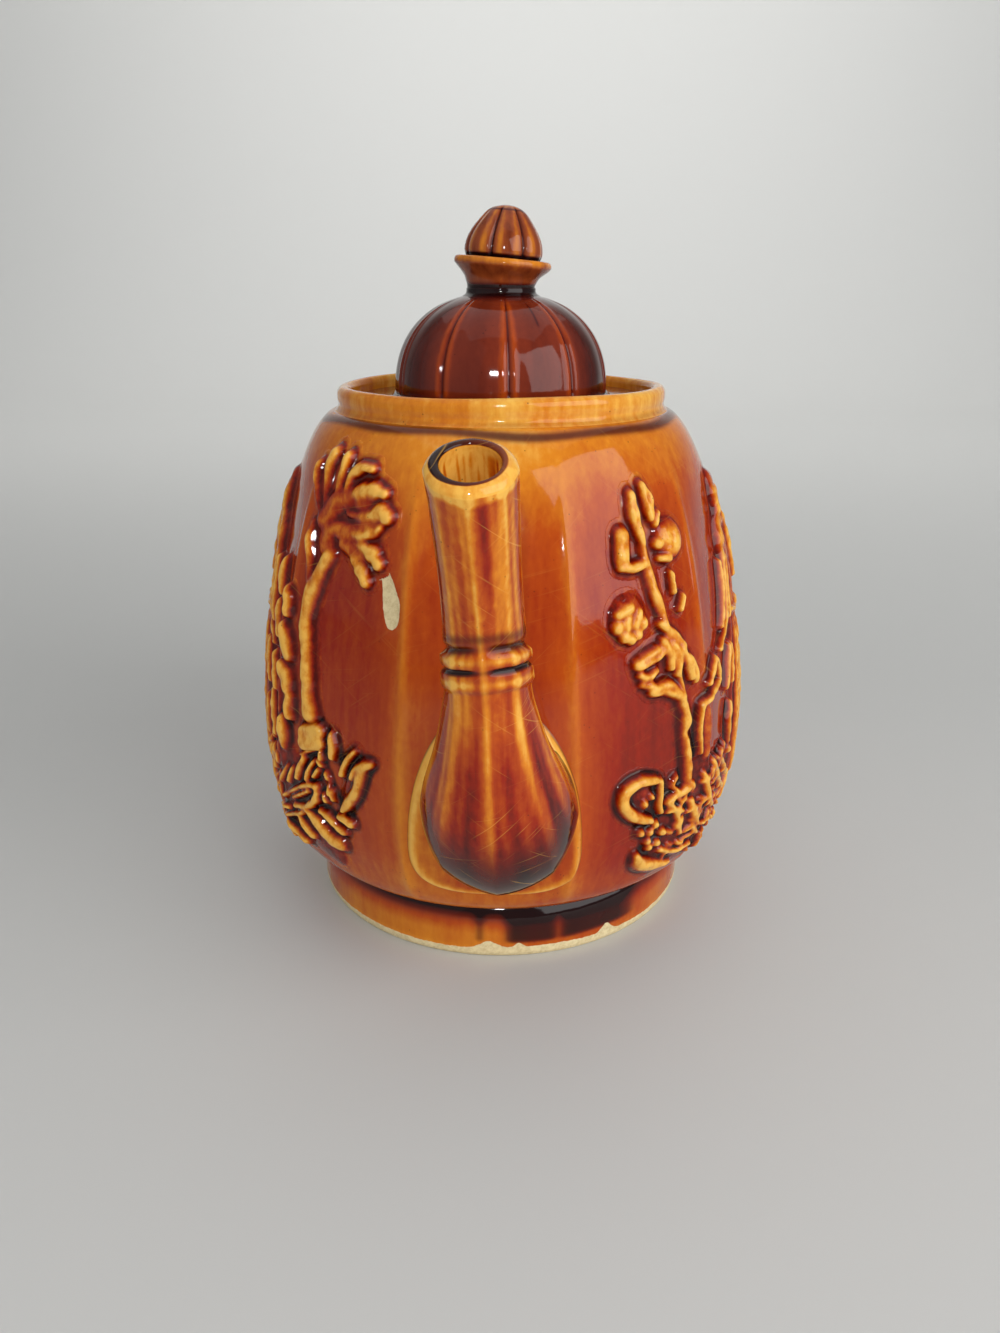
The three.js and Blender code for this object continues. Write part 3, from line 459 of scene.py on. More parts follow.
def palm_tree():
    """A palm with a clump of stubby leaves, a bent trunk and fingered fronds."""
    h = blank()
    crown = [
        [(-45.2, 119.9, 3.2), (-40.1, 125.5, 3.2), (-31.4, 126.4, 3.2)],
        [(-41.4, 118.1, 2.1), (-34.3, 118, 2.8), (-28.3, 121, 3)],
        [(-37.1, 115.2, 2.2), (-30.9, 112.5, 2.4)],
        [(-42.8, 117.4, 3.4), (-43.1, 114.2, 3.1), (-41.6, 111.8, 2.6)],
    ]
    strokes(h, crown, 0.64)
    trunk = [
        (-41.4, 111.1, 2), (-43.3, 107.5, 2.3), (-45.1, 102.6, 2.7), (-46, 98.6, 2.5),
        (-46.3, 94.2, 2.3), (-45.7, 89.7, 2.3), (-45, 84.6, 2.2), (-44.4, 79.4, 2.2),
        (-43.9, 74.2, 2.4), (-43.2, 69.8, 2.9),
    ]
    stroke(h, trunk, 1.0, "bark", rings=4)
    slender = [
        [
            (-47.4, 120.8, 0.8, 0.4), (-50.1, 125.3, 1.1, 0.55), (-52.5, 130.6, 1.3, 0.8),
            (-52.6, 132.8, 1.3, 0.85),
        ],
        [
            (-45.8, 121.1, 1, 0.4), (-46.6, 127, 1.3, 0.55), (-47.3, 132.2, 1.7, 0.85),
            (-46.6, 135.8, 1.9),
        ],
        [
            (-41.4, 122.9, 0.9, 0.4), (-41.7, 127.6, 1.4, 0.65), (-41.1, 132.4, 1.5, 0.95),
            (-40.6, 135.7, 1.5),
        ],
        [
            (-49.5, 118.8, 1.1, 0.4), (-49.2, 114.3, 1.5, 0.85), (-48, 109.6, 1.5, 0.65),
            (-47.1, 102.2, 1.3, 0.5),
        ],
    ]
    strokes(h, slender)
    lobed = [
        [
            (-39.3, 124.4, 1.1, 0.5), (-38.6, 128.5, 1.2, 0.7), (-37.3, 131.6, 1.7, 0.9),
            (-34.4, 133.5, 1.5), (-31.1, 133.5, 1.1),
        ],
        [
            (-37.7, 125, 1.2, 0.55), (-34.6, 127.3, 1.9, 0.85), (-31.3, 128.3, 2.3),
            (-28.2, 128.6, 1.9), (-25.9, 128.3, 1.2),
        ],
        [
            (-37.2, 122.3, 0.9, 0.5), (-32.8, 122.1, 1.3, 0.7), (-28.7, 122.8, 1.9, 0.9),
            (-25.9, 124.3, 2), (-24.4, 123, 1.8),
        ],
        [
            (-36.3, 118.9, 1.2, 0.55), (-31.9, 117.8, 1.4, 0.85), (-28, 119, 1.5, 0.9),
            (-25.8, 120.6, 0.9, 0.85),
        ],
        [(-33.9, 115.7, 0.9, 0.5), (-30.5, 115.4, 1.4, 0.8), (-27.4, 114, 2.1), (-25.6, 112.1, 1.7)],
        [
            (-35.6, 114.2, 1.2, 0.5), (-32.6, 112.1, 1.8, 0.8), (-30.2, 109.6, 2, 0.95),
            (-28.5, 107.2, 1.5),
        ],
    ]
    strokes(h, lobed, lobes=3)
    return h


def palm_rock():
    """The block of stone under the palm's trunk."""
    h = blank()
    courses = [[(-44.6, 64.3, 2.2), (-40.3, 65.9, 2.2)], [(-44.7, 61.5, 2.2), (-40.3, 63.1, 2.2)]]
    strokes(h, courses, 0.95, "block")
    return h


def palm_undergrowth():
    """Leaves, blades and a broad veined leaf heaped at the foot of the left panel."""
    h = blank()
    mound = [(-40, 29, 4), (-44.5, 34, 6.5), (-48.5, 40, 8.5), (-51.5, 48, 8), (-54.5, 54, 6)]
    stroke(h, mound, 0.32)
    tangle(h, 5, 44, (-67, 26), (-55, 58), 0.88)
    blades = [
        [(-36.1, 66.8, 0.9), (-35.8, 63.4, 1.6), (-35.8, 60.3, 1)],
        [(-46.8, 57.2, 0.4), (-44.3, 58.8, 0.5), (-41.6, 60.4, 0.4)],
        [(-44.8, 57.1, 0.8), (-46.6, 53.5, 1.1), (-47.8, 49.9, 0.8)],
        [(-41.8, 57.2, 0.6), (-43.4, 53.9, 0.9), (-44.4, 50.9, 0.8)],
        [(-49.4, 52.2, 0.7), (-51.1, 47.5, 0.7)],
        [(-51.4, 52.2, 0.5), (-54.5, 46.1, 0.6)],
        [(-54.5, 49.2, 0.5), (-57.7, 43.9, 0.5)],
        [(-40.5, 55.2, 0.7), (-42, 52.5, 0.7)],
        [(-39.7, 61.1, 0.5), (-39.4, 58.7, 0.8)],
        [(-40.7, 58.2, 0.5), (-39.4, 56.5, 0.6)],
        [(-38.5, 55.1, 0.5), (-37.5, 53.4, 0.6)],
        [(-37.3, 52.1, 0.5), (-37.2, 49.2, 0.7)],
        [(-36.2, 50.8, 0.5), (-36.1, 47.9, 0.7)],
        [(-39.3, 48.3, 0.6), (-38.6, 46.3, 0.6)],
    ]
    strokes(h, blades, 0.95)
    whorl = [
        [(-54, 41.7, 0.5), (-48.4, 46.4, 0.6), (-44.2, 49.2, 0.9), (-41.2, 49.9, 1.1)],
        [(-50.6, 42.5, 0.5), (-47.3, 45, 0.6), (-44, 47.5, 0.7)],
        [(-41, 48.5, 1), (-42.2, 45.3, 1.4), (-45.8, 42, 0.9), (-49.5, 40.8, 1.1)],
        [(-56.6, 38, 0.8), (-52.8, 38.4, 0.8)],
    ]
    strokes(h, whorl, 0.95, lobes=4)
    fan = [
        [(-57.8, 33.7, 0.6), (-50, 37.6, 0.7), (-44.7, 41.3, 0.6)],
        [
            (-44.1, 40.4, 1.3), (-42.3, 38.4, 2.1), (-40.3, 36.1, 2.3), (-38.2, 34.5, 2.3),
            (-36, 34.2, 2.1),
        ],
        [(-40.7, 42.9, 0.8), (-37.7, 41.8, 1.3), (-35.5, 40, 1.2), (-33.8, 39.1, 1.1)],
        [(-34.7, 43.7, 0.8), (-32.6, 43.6, 1.2), (-31, 42.7, 1.2)],
        [(-48.2, 37.3, 0.8), (-47.2, 35.2, 1.3), (-45, 33, 1.3)],
        [(-54.9, 32.9, 0.8), (-52.4, 30.6, 1.2), (-49.5, 28.7, 1.3)],
    ]
    strokes(h, fan, lobes=4)
    return h


def leaf_column():
    """Leaves that climb beside the palm at the edge of the panel."""
    h = blank()
    stroke(h, [(-55.2, 52, 1.4), (-55.6, 66, 1.2), (-56, 80, 1.1), (-58, 100, 0.8)], 0.5)
    leaves = [
        [(-54.8, 91, 1.3), (-53, 87.5, 2.1), (-51.9, 83.5, 2.1)],
        [(-54.3, 80.6, 1.3), (-52.3, 77.9, 2.5), (-51.1, 74.2, 1.7)],
        [(-50.4, 72.5, 1.3), (-50.8, 69.5, 1.7), (-50.2, 66.9, 1.3)],
        [(-53.2, 65.4, 1.3), (-52.8, 61.6, 2.1), (-52.5, 57.3, 1.3, 0.7)],
        [(-56.3, 53.5, 0.8), (-56, 50.9, 0.8)],
        [(-54.6, 101, 0.9), (-53.6, 97.6, 1.6), (-53.2, 94, 1)],
        [(-57.6, 59, 1), (-59.2, 65, 2), (-60.2, 71, 0.9)],
        [(-57, 72.5, 1), (-58.8, 77, 2.1), (-60, 81.5, 0.9)],
        [(-57.6, 87, 1), (-59.6, 91.6, 2), (-60, 96, 0.9)],
        [(-59, 98, 1), (-61, 102, 2.1), (-60.6, 107, 0.9)],
        [(-59.5, 53.5, 0.8), (-59.6, 47.8, 1.1)],
    ]
    strokes(h, leaves, 0.97)
    return h


def palm_curled_leaf():
    """A broad leaf with its top edge and its right edge rolled over."""
    h = blank()
    stroke(h, [(-29.3, 57.8, 1.5), (-30.9, 53.3, 2.1), (-32.4, 49.6, 1.5)], 0.4)
    edges = [
        [
            (-24.4, 62.1, 0.9), (-26.7, 60.7, 1.7), (-27.8, 56.8, 1.7), (-29.2, 52.5, 1.7),
            (-31.6, 48.5, 1.6), (-33.2, 46.1, 1),
        ],
        [(-26.2, 61.7, 1), (-28.8, 59.6, 1), (-30.2, 56.4, 0.7)],
        [(-29.2, 64.1, 0.8), (-31.5, 60.7, 1.1), (-32.9, 56.6, 1)],
    ]
    strokes(h, edges)
    return h


def climber():
    """A climbing stem with leaves, buds, a round fruit, a bloom and hanging petals."""
    h = blank()
    stem = [(47.2, 49.6, 1.7), (47.1, 57.2, 1.8), (46.4, 62.5, 1.5), (45.8, 67, 1.3), (46.2, 74, 1.1)]
    upper = [
        (46, 76, 0.9), (44.6, 83, 1), (42.2, 93, 1.1), (41.2, 98.4, 1.6), (39.3, 105.3, 1.8),
        (38.2, 110.8, 1.6), (37.6, 117, 1.1),
    ]
    strokes(h, [stem, upper], 0.85, "bark", rings=5)
    leaves = [
        [(41, 121.4, 0.9), (41.1, 125.5, 2), (39.7, 129.6, 1.2)],
        [(37.8, 116.4, 1.1), (36.2, 122.2, 1.8), (36, 127.6, 1.5)],
        [(43.6, 122.8, 0.9), (42.2, 120, 0.9)],
        [(45.2, 107.8, 0.8), (45.2, 103, 0.9)],
        [(48, 101.8, 0.8), (46.7, 98.4, 0.9)],
        [(33.2, 87, 1.6), (37.7, 88.4, 2.3), (41.4, 89.8, 1.4)],
        [(37, 79.4, 1.6), (41.3, 79.4, 2.3), (44.8, 76.4, 1.6)],
        [(45, 76, 1.2), (46.4, 70.4, 1.6), (45.6, 65.6, 1.1)],
        [(40.2, 96, 1), (43.6, 93, 1.5), (46.4, 89.6, 1.2)],
    ]
    strokes(h, leaves, 0.97, "leaf", veins=2)
    buds = [
        [(31.4, 112.6, 2.2), (32, 118.2, 2.4)],
        [(30.8, 111.2, 1.3), (34.6, 110.6, 1.4), (38.2, 111.2, 1.2)],
        [(42.2, 111.8, 0.9), (44.9, 111.4, 1.3)],
        [(42.2, 115.4, 1.6), (42.6, 115.4, 1.7)],
    ]
    strokes(h, buds)
    disc(h, 46.2, 115.9, 4.6, 0.92)
    bloom(h, 31.9, 98.2, 6.0)
    petals = [
        [(40.8, 91.6, 1.2), (42.4, 88, 1.5), (42.4, 84.4, 1.1)],
        [(43.2, 90.6, 1.2), (44.8, 87, 1.6), (44.2, 82.4, 1.1)],
        [(45.6, 89, 1.2), (47.2, 85.4, 1.5), (48.2, 80.4, 1.1)],
        [(48, 86, 1.1), (49.4, 82.6, 1.1), (49.6, 79, 0.9)],
    ]
    strokes(h, petals)
    stroke(h, [(33.8, 84.4, 1.2), (36, 83.4, 1.3), (38.4, 84.6, 1.1)], 0.85)
    stroke(h, [(34.4, 81.8, 1.2), (37, 81, 1.4)], 0.85)
    return h


def tree_stump():
    """A jar-shaped stump beside the climber, with a forked shoot growing from it."""
    h = blank()
    stroke(h, [(52.8, 57.4, 1.4), (53.1, 61, 2.5), (53.1, 66, 2.9), (52.8, 71.6, 1.9)], 0.62)
    stroke(h, [(50.9, 58.4, 0.6), (50.4, 66, 0.7), (51.4, 72, 0.7)])
    shoots = [
        [(58.5, 82.5, 0.9), (56, 79.6, 1), (54, 77, 0.9)],
        [(58.5, 82.5, 0.9), (60, 79, 1), (60.8, 75.6, 0.8)],
        [(60.6, 75.6, 0.8), (54.6, 73.3, 0.9), (51.4, 72.1, 0.9)],
    ]
    strokes(h, shoots, 0.95)
    return h


def climber_undergrowth():
    """Leaves, berries and roots heaped at the foot of the right panel."""
    h = blank()
    mound = [(42, 28, 4.5), (46.5, 32, 7), (49.5, 40, 9), (51.5, 48, 8), (53, 53, 5)]
    stroke(h, mound, 0.36)
    tangle(h, 3, 80, (42, 27), (67, 54), 0.88, 3.0)
    roots = [
        [(46.8, 49.6, 1.4), (44, 49, 1.5), (41.3, 47.8, 1.2)],
        [(41.5, 48, 1.1), (42.8, 46, 1.1), (44.2, 43.8, 1)],
        [(44.2, 43.8, 1), (45.4, 40, 1), (46.6, 36.3, 0.9)],
        [(48.4, 45.6, 1.4), (49.9, 41.5, 1.5), (52.1, 36.9, 0.9)],
        [(56, 54.4, 1.1), (59.9, 47.6, 1.4), (66, 41, 1.2)],
        [(62.8, 51.4, 1.1), (65.8, 47.6, 1.2), (69, 43.5, 1)],
        [(41.2, 33, 1), (46, 30.4, 1.1), (51, 30.6, 1)],
        [(52, 52.4, 1), (54, 46, 1.2), (57.6, 40, 1)],
    ]
    strokes(h, roots, 0.92)
    berries = [
        (34.6, 40.8), (37.1, 40.2), (36.9, 37.4), (39.8, 35.8), (38.6, 42), (40.9, 38.9),
        (37.7, 35.2),
    ]
    for place in berries:
        disc(h, *place, 1.3, 0.95)
    stroke(h, [(34.4, 33.4, 1.2), (36, 30.2, 2.2), (41, 27.6, 2.1), (45.8, 26.6, 0.9)], 0.95)
    return h


def climber_curled_leaf():
    """A leaf curled round like a hook, with two small knobs inside the curl."""
    h = blank()
    edge = [
        (37.6, 55.4, 1.3), (33.5, 56.2, 1.7), (30, 54.6, 2), (29.2, 51.6, 1.9), (30.5, 48.6, 1.8),
        (33.2, 45.9, 1.7), (37, 43.7, 1.2),
    ]
    stroke(h, [(35, 53.4, 2.4), (34.4, 49, 2.6)], 0.4)
    stroke(h, edge)
    strokes(h, [[(34.7, 49.8, 1.2), (35.1, 49.2, 1.2)], [(36.6, 51.2, 0.9), (37, 50.6, 0.9)]], 0.9)
    stroke(h, [(39, 54.8, 1.1), (39.2, 48, 1.1), (39.8, 45.4, 0.9)], 0.9)
    return h


FIGURE_RISE = 0.91  # keeps the widest part of the pot inside the CAD's outline


def robed_figure(side):
    """A calm standing figure in a long robe and hood, turned towards the spout."""
    h = blank()
    robe = [
        (84, 39, 9.4), (84, 50, 8.4), (84, 64, 7.4), (84, 78, 6.6), (83.6, 92, 6), (83.4, 104, 6.2),
        (83, 114, 4.8),
    ]
    strokes(h, [robe], 0.78, "cloth", side, folds=5)
    folds = [
        [(79.2, 39, 1.4), (80.2, 60, 1.3), (81.4, 82, 0.9)],
        [(83, 39, 1.3), (83.4, 60, 1.2), (83.4, 82, 0.8)],
        [(87.2, 39, 1.5), (87, 60, 1.3), (85.6, 84, 0.9)],
        [(90.6, 40, 1.3), (90, 58, 1.2), (88, 78, 0.8)],
        [(87.6, 114, 1.4), (89.4, 106, 2), (90.2, 96, 1.3)],
        [(79.4, 89, 1.2), (83.6, 88, 1.3), (88.2, 89.8, 1.2)],
    ]
    strokes(h, folds, side=side)
    sleeve = [(80.6, 116, 1.8), (78.2, 110.6, 2.9), (76.6, 104.6, 1.7)]
    strokes(h, [sleeve], 1.0, "leaf", side, veins=2)
    for i in range(3):
        tassel = [(72.4 + 3.6 * i, 104.4, 1), (70.6 + 3.2 * i, 96, 1.2), (67 + 4.4 * i, 88, 0.9)]
        strokes(h, [tassel], 0.95, side=side)
    held = [
        [(75, 91, 0.8), (69, 86.6, 1), (63.8, 82.6, 0.9)],
        [(73, 80.6, 1), (70.6, 75, 1.3), (68.6, 69.6, 0.9)],
        [(76, 80, 1), (75.4, 75, 1.2), (75, 69, 0.9)],
        [(72.6, 64, 0.8), (71, 58, 1.4), (72, 52, 0.9)],
        [(74, 42, 0.9), (72, 38, 1.3), (70, 34.6, 0.8)],
    ]
    strokes(h, held, 0.92, side=side)
    disc(h, side * 71.9, 49.6, 1.7, 0.95)
    hood = [(84.6, 115.6, 4.2), (83.8, 120.4, 4.6), (83, 124, 3.4)]
    strokes(h, [hood], 0.92, "cloth", side)
    face = [(81.2, 116.8, 2.2), (81.2, 121.6, 2.5)]
    strokes(h, [face], 1.04, side=side)
    features = [
        [(80.6, 121, 0.45), (80.3, 118.9, 0.6)],
        [(79.8, 116.9, 0.35), (81, 116.7, 0.35)],
        [(79.4, 121.9, 0.35), (80, 122.1, 0.3)],
        [(81.4, 122.1, 0.35), (82.2, 121.8, 0.3)],
    ]
    strokes(h, features, 1.14, side=side)
    return FIGURE_RISE * h


def side_tree(side):
    """A broad-leaved palm behind the figure, with roots spread like fingers."""
    h = blank()
    trunk = [
        (110, 45, 4.2), (111, 54, 2.9), (112.6, 66, 2.3), (113, 80, 2.1), (112.2, 92, 2),
        (112, 100, 2.4),
    ]
    strokes(h, [trunk], 0.95, "bark", side, rings=12)
    for i, turn in enumerate(np.linspace(-125, 125, 9)):
        middle = around(112, 101.5, turn, 8)
        tip = around(112, 100, turn, 16.5 + 2.5 * (i % 2))
        leaf = [(112, 99, 1.3, 0.5), (*middle, 2.6, 0.8), (*tip, 1.9)]
        strokes(h, [leaf], 1.0, "leaf", side, veins=5, lobes=3)
    for angle, z in ((104.5, 40), (107.5, 36), (113.5, 36), (116.5, 40)):
        root = [(110, 46, 1.4), ((angle + 110) / 2, z + 5, 1.7), (angle, z, 0.8)]
        strokes(h, [root], 0.85, "leaf", side)
    return h


SPRIGS = {
    "palm_tree": palm_tree(),
    "palm_rock": palm_rock(),
    "palm_undergrowth": np.maximum(palm_undergrowth(), leaf_column()),
    "palm_curled_leaf": palm_curled_leaf(),
    "climber": climber(),
    "tree_stump": tree_stump(),
    "climber_undergrowth": climber_undergrowth(),
    "climber_curled_leaf": climber_curled_leaf(),
    "left_figure": robed_figure(-1),
    "right_figure": robed_figure(1),
    "left_side_tree": side_tree(-1),
    "right_side_tree": side_tree(1),
}
# Uneven clay, the relief's outline softened, and how high it stands near each place and round about
SOFT_EDGE = 0.3
LUMPS = blurred(np.random.default_rng(1).normal(size=blank().shape), 1.1)
for heights in SPRIGS.values():
    heights *= np.clip(0.97 + 0.06 * LUMPS / LUMPS.std(), 0.8, 1.03)
RELIEF = blurred(np.maximum.reduce(list(SPRIGS.values())), SOFT_EDGE)
RELIEF_NEAR = blurred(RELIEF, 0.8)
RELIEF_WIDE = blurred(RELIEF, 2.2)

# The place on the left front panel where a flake of glaze is missing
CHIP = blank()
CHIP_STROKES = [
    [(-24, 110, 1), (-22.8, 106.6, 1.7), (-21.6, 102.4, 2.4), (-21.2, 98.6, 1.7)],
    [(-24.2, 110.2, 1), (-26.2, 108.4, 0.8), (-27.4, 104.6, 0.6)],
]
strokes(CHIP, CHIP_STROKES, 1 / RELIEF_RISE, "block")
CHIP = blurred(CHIP, SOFT_EDGE)


def on_map(values, angle, z):
    """Bilinear reading of a height map at angles and heights, 0 above and below the map."""
    angle, z = np.broadcast_arrays(np.asarray(angle, float), np.asarray(z, float))
    across = np.mod(angle + 180, 360) / ANGLE_STEP
    up = (z - MAP_HEIGHTS[0]) / HEIGHT_STEP
    inside = (up >= 0) & (up <= len(MAP_HEIGHTS) - 1)
    up = np.clip(up, 0, len(MAP_HEIGHTS) - 1.001)
    i, j = up.astype(int), across.astype(int) % len(MAP_ANGLES)
    u, v = up - i, across - across.astype(int)
    right = (j + 1) % len(MAP_ANGLES)
    below = values[i, j] * (1 - v) + values[i, right] * v
    above = values[i + 1, j] * (1 - v) + values[i + 1, right] * v
    return np.where(inside, below * (1 - u) + above * u, 0)


def wall_glaze(angle, z):
    """How thin the glaze runs and how much it pools on the wall and its relief, both 0 to 1."""
    lift, near, wide = (on_map(values, angle, z) for values in (RELIEF, RELIEF_NEAR, RELIEF_WIDE))
    turned = from_spout(angle)
    rib = 0.13 * bump(from_rib(angle), 1.4) + 0.13 * bump(from_rib(angle), 4.5)
    front = 0.18 * bump(turned + 2, 24) + 0.06 * smoothstep(92, 55, z) * smoothstep(10, -20, turned)
    top = 0.10 * smoothstep(104, 122, z) + 0.34 * smoothstep(118, 142, z)
    left, right = bump(turned + 30, 14), bump(turned - 36, 14)
    sides = 0.05 * left * smoothstep(80, 50, z) - 0.07 * right * smoothstep(96, 80, z)
    plain = 0.25 + front + rib * panel_fade(z) + top + sides + 0.15 * smoothstep(40, 22, z)
    raised = 0.10 + 0.78 * smoothstep(0.8, 2.8, lift) + 0.55 * (lift - near)
    on_relief = smoothstep(0.05, 0.5, lift)
    thin = plain * (1 - on_relief) + raised * on_relief
    depth = 0.55 + 0.65 * smoothstep(82, 58, z) + 0.3 * smoothstep(44, 58, np.abs(turned))
    valley = np.clip(1.1 * (near - lift) + 0.3 * (wide - lift), 0, 1) * depth
    wander = 0.5 * sine(3 * angle + 20) + 0.3 * sine(8 * angle)
    under_collar = 0.48 * bump(z - SHOULDER_HEIGHT + 1.2 + wander, 1.2)
    pool = valley + bump(z - WALL_BASE + 0.6, 1.4) * 0.7 + under_collar
    return np.clip(thin, 0, 1), np.clip(pool, 0, 1)


def wall_fillet(angle, z):
    """The glaze fills the corner between the wall and the relief."""
    return np.minimum(0.5, 0.4 * on_map(RELIEF_NEAR, angle, z)) - 0.3 * on_map(CHIP, angle, z)


def sprig_mesh(name, heights):
    """A closed mesh of one sprig with a fringe of glaze round it, its back just inside the wall."""
    heights = blurred(heights, SOFT_EDGE)
    cells = blurred(heights, 1.2) > 0.05
    cells = cells[:-1, :-1] | cells[1:, :-1] | cells[:-1, 1:] | cells[1:, 1:]
    # Cells that only touch at a corner get a third one, so that no edge ends in a point
    for _ in range(3):
        a, b, c, d = cells[:-1, :-1], cells[1:, 1:], cells[1:, :-1], cells[:-1, 1:]
        c |= a & b & ~d & ~c
        a |= c & d & ~a & ~b
    i, j = np.nonzero(cells)
    width = len(MAP_ANGLES)
    first = i * width + j
    quads = np.stack([first, first + 1, first + width + 1, first + width], -1)
    used, flat = np.unique(quads, return_inverse=True)
    flat = flat.reshape(-1, 4)
    z, angle = MAP_HEIGHTS[used // width], MAP_ANGLES[used % width]
    lift = np.maximum(heights.ravel()[used], wall_fillet(angle, z) + 0.02)
    base = wall(angle, z)
    top = spot(base + lift, angle, z)
    back = spot(base - BACK_DEPTH, angle, z)
    edges = np.concatenate([flat[:, [k, (k + 1) % 4]] for k in range(4)])
    keys = edges[:, 0] * len(used) + edges[:, 1]
    twins = edges[:, 1] * len(used) + edges[:, 0]
    rim = edges[~np.isin(keys, twins)]
    sides = np.stack([rim[:, 1], rim[:, 0], rim[:, 0] + len(used), rim[:, 1] + len(used)], -1)
    faces = [np.concatenate([flat, flat[:, ::-1] + len(used), sides])]
    thin, pool = wall_glaze(angle, z)
    values = {"thin": np.tile(thin, 2), "pool": np.tile(pool, 2)}
    return closed_mesh(name, np.concatenate([top, back]), faces, values)


# Glaze
GLAZE_ROUGHNESS = 0.07
CLAY_ROUGHNESS = 0.6  # added to the glaze's where the clay is bare
GLAZE_IOR = 1.38


def linear(red, green, blue):
    """A colour given as it looks on a screen, as Blender's linear values."""
    parts = [v / 255 for v in (red, green, blue)]
    return [v / 12.92 if v <= 0.04045 else ((v + 0.055) / 1.055) ** 2.4 for v in parts] + [1]


HONEY = linear(238, 180, 78)
AMBER = linear(216, 130, 28)
ORANGE_BROWN = linear(180, 72, 8)
RED_BROWN = linear(146, 30, 2)
DEEP_BROWN = linear(84, 12, 4)
BLACK_BROWN = linear(20, 4, 5)
CLAY = linear(232, 214, 168)
CLAY_SHADE = linear(208, 186, 138)


class Nodes:
    """Short calls for building a material's nodes."""

    def __init__(self, name):
        self.material = bpy.data.materials.new(name)
        self.material.use_nodes = True
        self.tree = self.material.node_tree
        self.tree.nodes.clear()

    def node(self, kind, **settings):
        made = self.tree.nodes.new(kind)
        for key, value in settings.items():
            setattr(made, key, value)
        return made

    def set(self, made, values):
        for key, value in values.items():
            made.inputs[key].default_value = value

    def link(self, source, target):
        self.tree.links.new(source, target)

    def put(self, socket, value):
        if isinstance(value, bpy.types.NodeSocket):
            self.link(value, socket)
        else:
            socket.default_value = value

    def math(self, operation, a, b=0.0, clamp=False):
        made = self.node("ShaderNodeMath", operation=operation, use_clamp=clamp)
        self.put(made.inputs[0], a)
        self.put(made.inputs[1], b)
        return made.outputs[0]

    def add(self, a, b, clamp=False):
        return self.math("ADD", a, b, clamp)

    def times(self, a, b):
        return self.math("MULTIPLY", a, b)

    def centred(self, value, size):
        """A noise value moved to run from about -size to +size."""
        return self.times(self.math("SUBTRACT", value, 0.5), 2 * size)

    def mix(self, share, a, b):
        made = self.node("ShaderNodeMix", data_type="RGBA")
        for socket, value in ((0, share), (6, a), (7, b)):
            self.put(made.inputs[socket], value)
        return made.outputs[2]

    def value(self, name):
        return self.node("ShaderNodeAttribute", attribute_name=name).outputs["Fac"]

    def place(self, scale, turn=(0, 0, 0), kind="POINT"):
        where = self.node("ShaderNodeTexCoord").outputs["Object"]
        mapping = self.node("ShaderNodeMapping", vector_type=kind)
        self.set(mapping, {"Scale": scale, "Rotation": turn})
        self.link(where, mapping.inputs["Vector"])
        return mapping.outputs[0]

    def noise(self, scale, size, detail=2.0, roughness=0.5, turn=(0, 0, 0), kind="POINT"):
        made = self.node("ShaderNodeTexNoise")
        self.link(self.place(scale, turn, kind), made.inputs["Vector"])
        self.set(made, {"Scale": size, "Detail": detail, "Roughness": roughness})
        return made.outputs["Fac"]

    def remap(self, value, low, high, to_low=0.0, to_high=1.0):
        made = self.node("ShaderNodeMapRange", interpolation_type="SMOOTHSTEP")
        self.put(made.inputs["Value"], value)
        self.set(made, {"From Min": low, "From Max": high, "To Min": to_low, "To Max": to_high})
        return made.outputs["Result"]

    def ramp(self, value, stops):
        made = self.node("ShaderNodeValToRGB")
        self.link(value, made.inputs["Fac"])
        elements = made.color_ramp.elements
        elements[0].position, elements[0].color = stops[0]
        elements[1].position, elements[1].color = stops[-1]
        for position, color in stops[1:-1]:
            elements.new(position).color = color
        return made.outputs["Color"]


def specks(n, size, chance):
    """Small round dots, thinly and unevenly strewn; 1 in a dot."""
    dots = n.node("ShaderNodeTexVoronoi")
    n.link(n.place((1, 1, 1)), dots.inputs["Vector"])
    n.set(dots, {"Scale": size})
    chosen = n.remap(n.noise((1, 1, 1), 0.34 * size, 1.0), chance, chance + 0.08)
    return n.times(n.remap(dots.outputs["Distance"], 0.16, 0.05), chosen)


def scratches(n, turn, size):
    """Fine straight scratches in one direction, worn in patches; 1 in a scratch."""
    lines = n.noise((1, 60, 60), size, 1.0, 0.5, turn, "TEXTURE")
    patches = n.noise((1, 1, 1), 90, 2.0)
    return n.times(n.remap(lines, 0.665, 0.75), n.remap(patches, 0.38, 0.60))


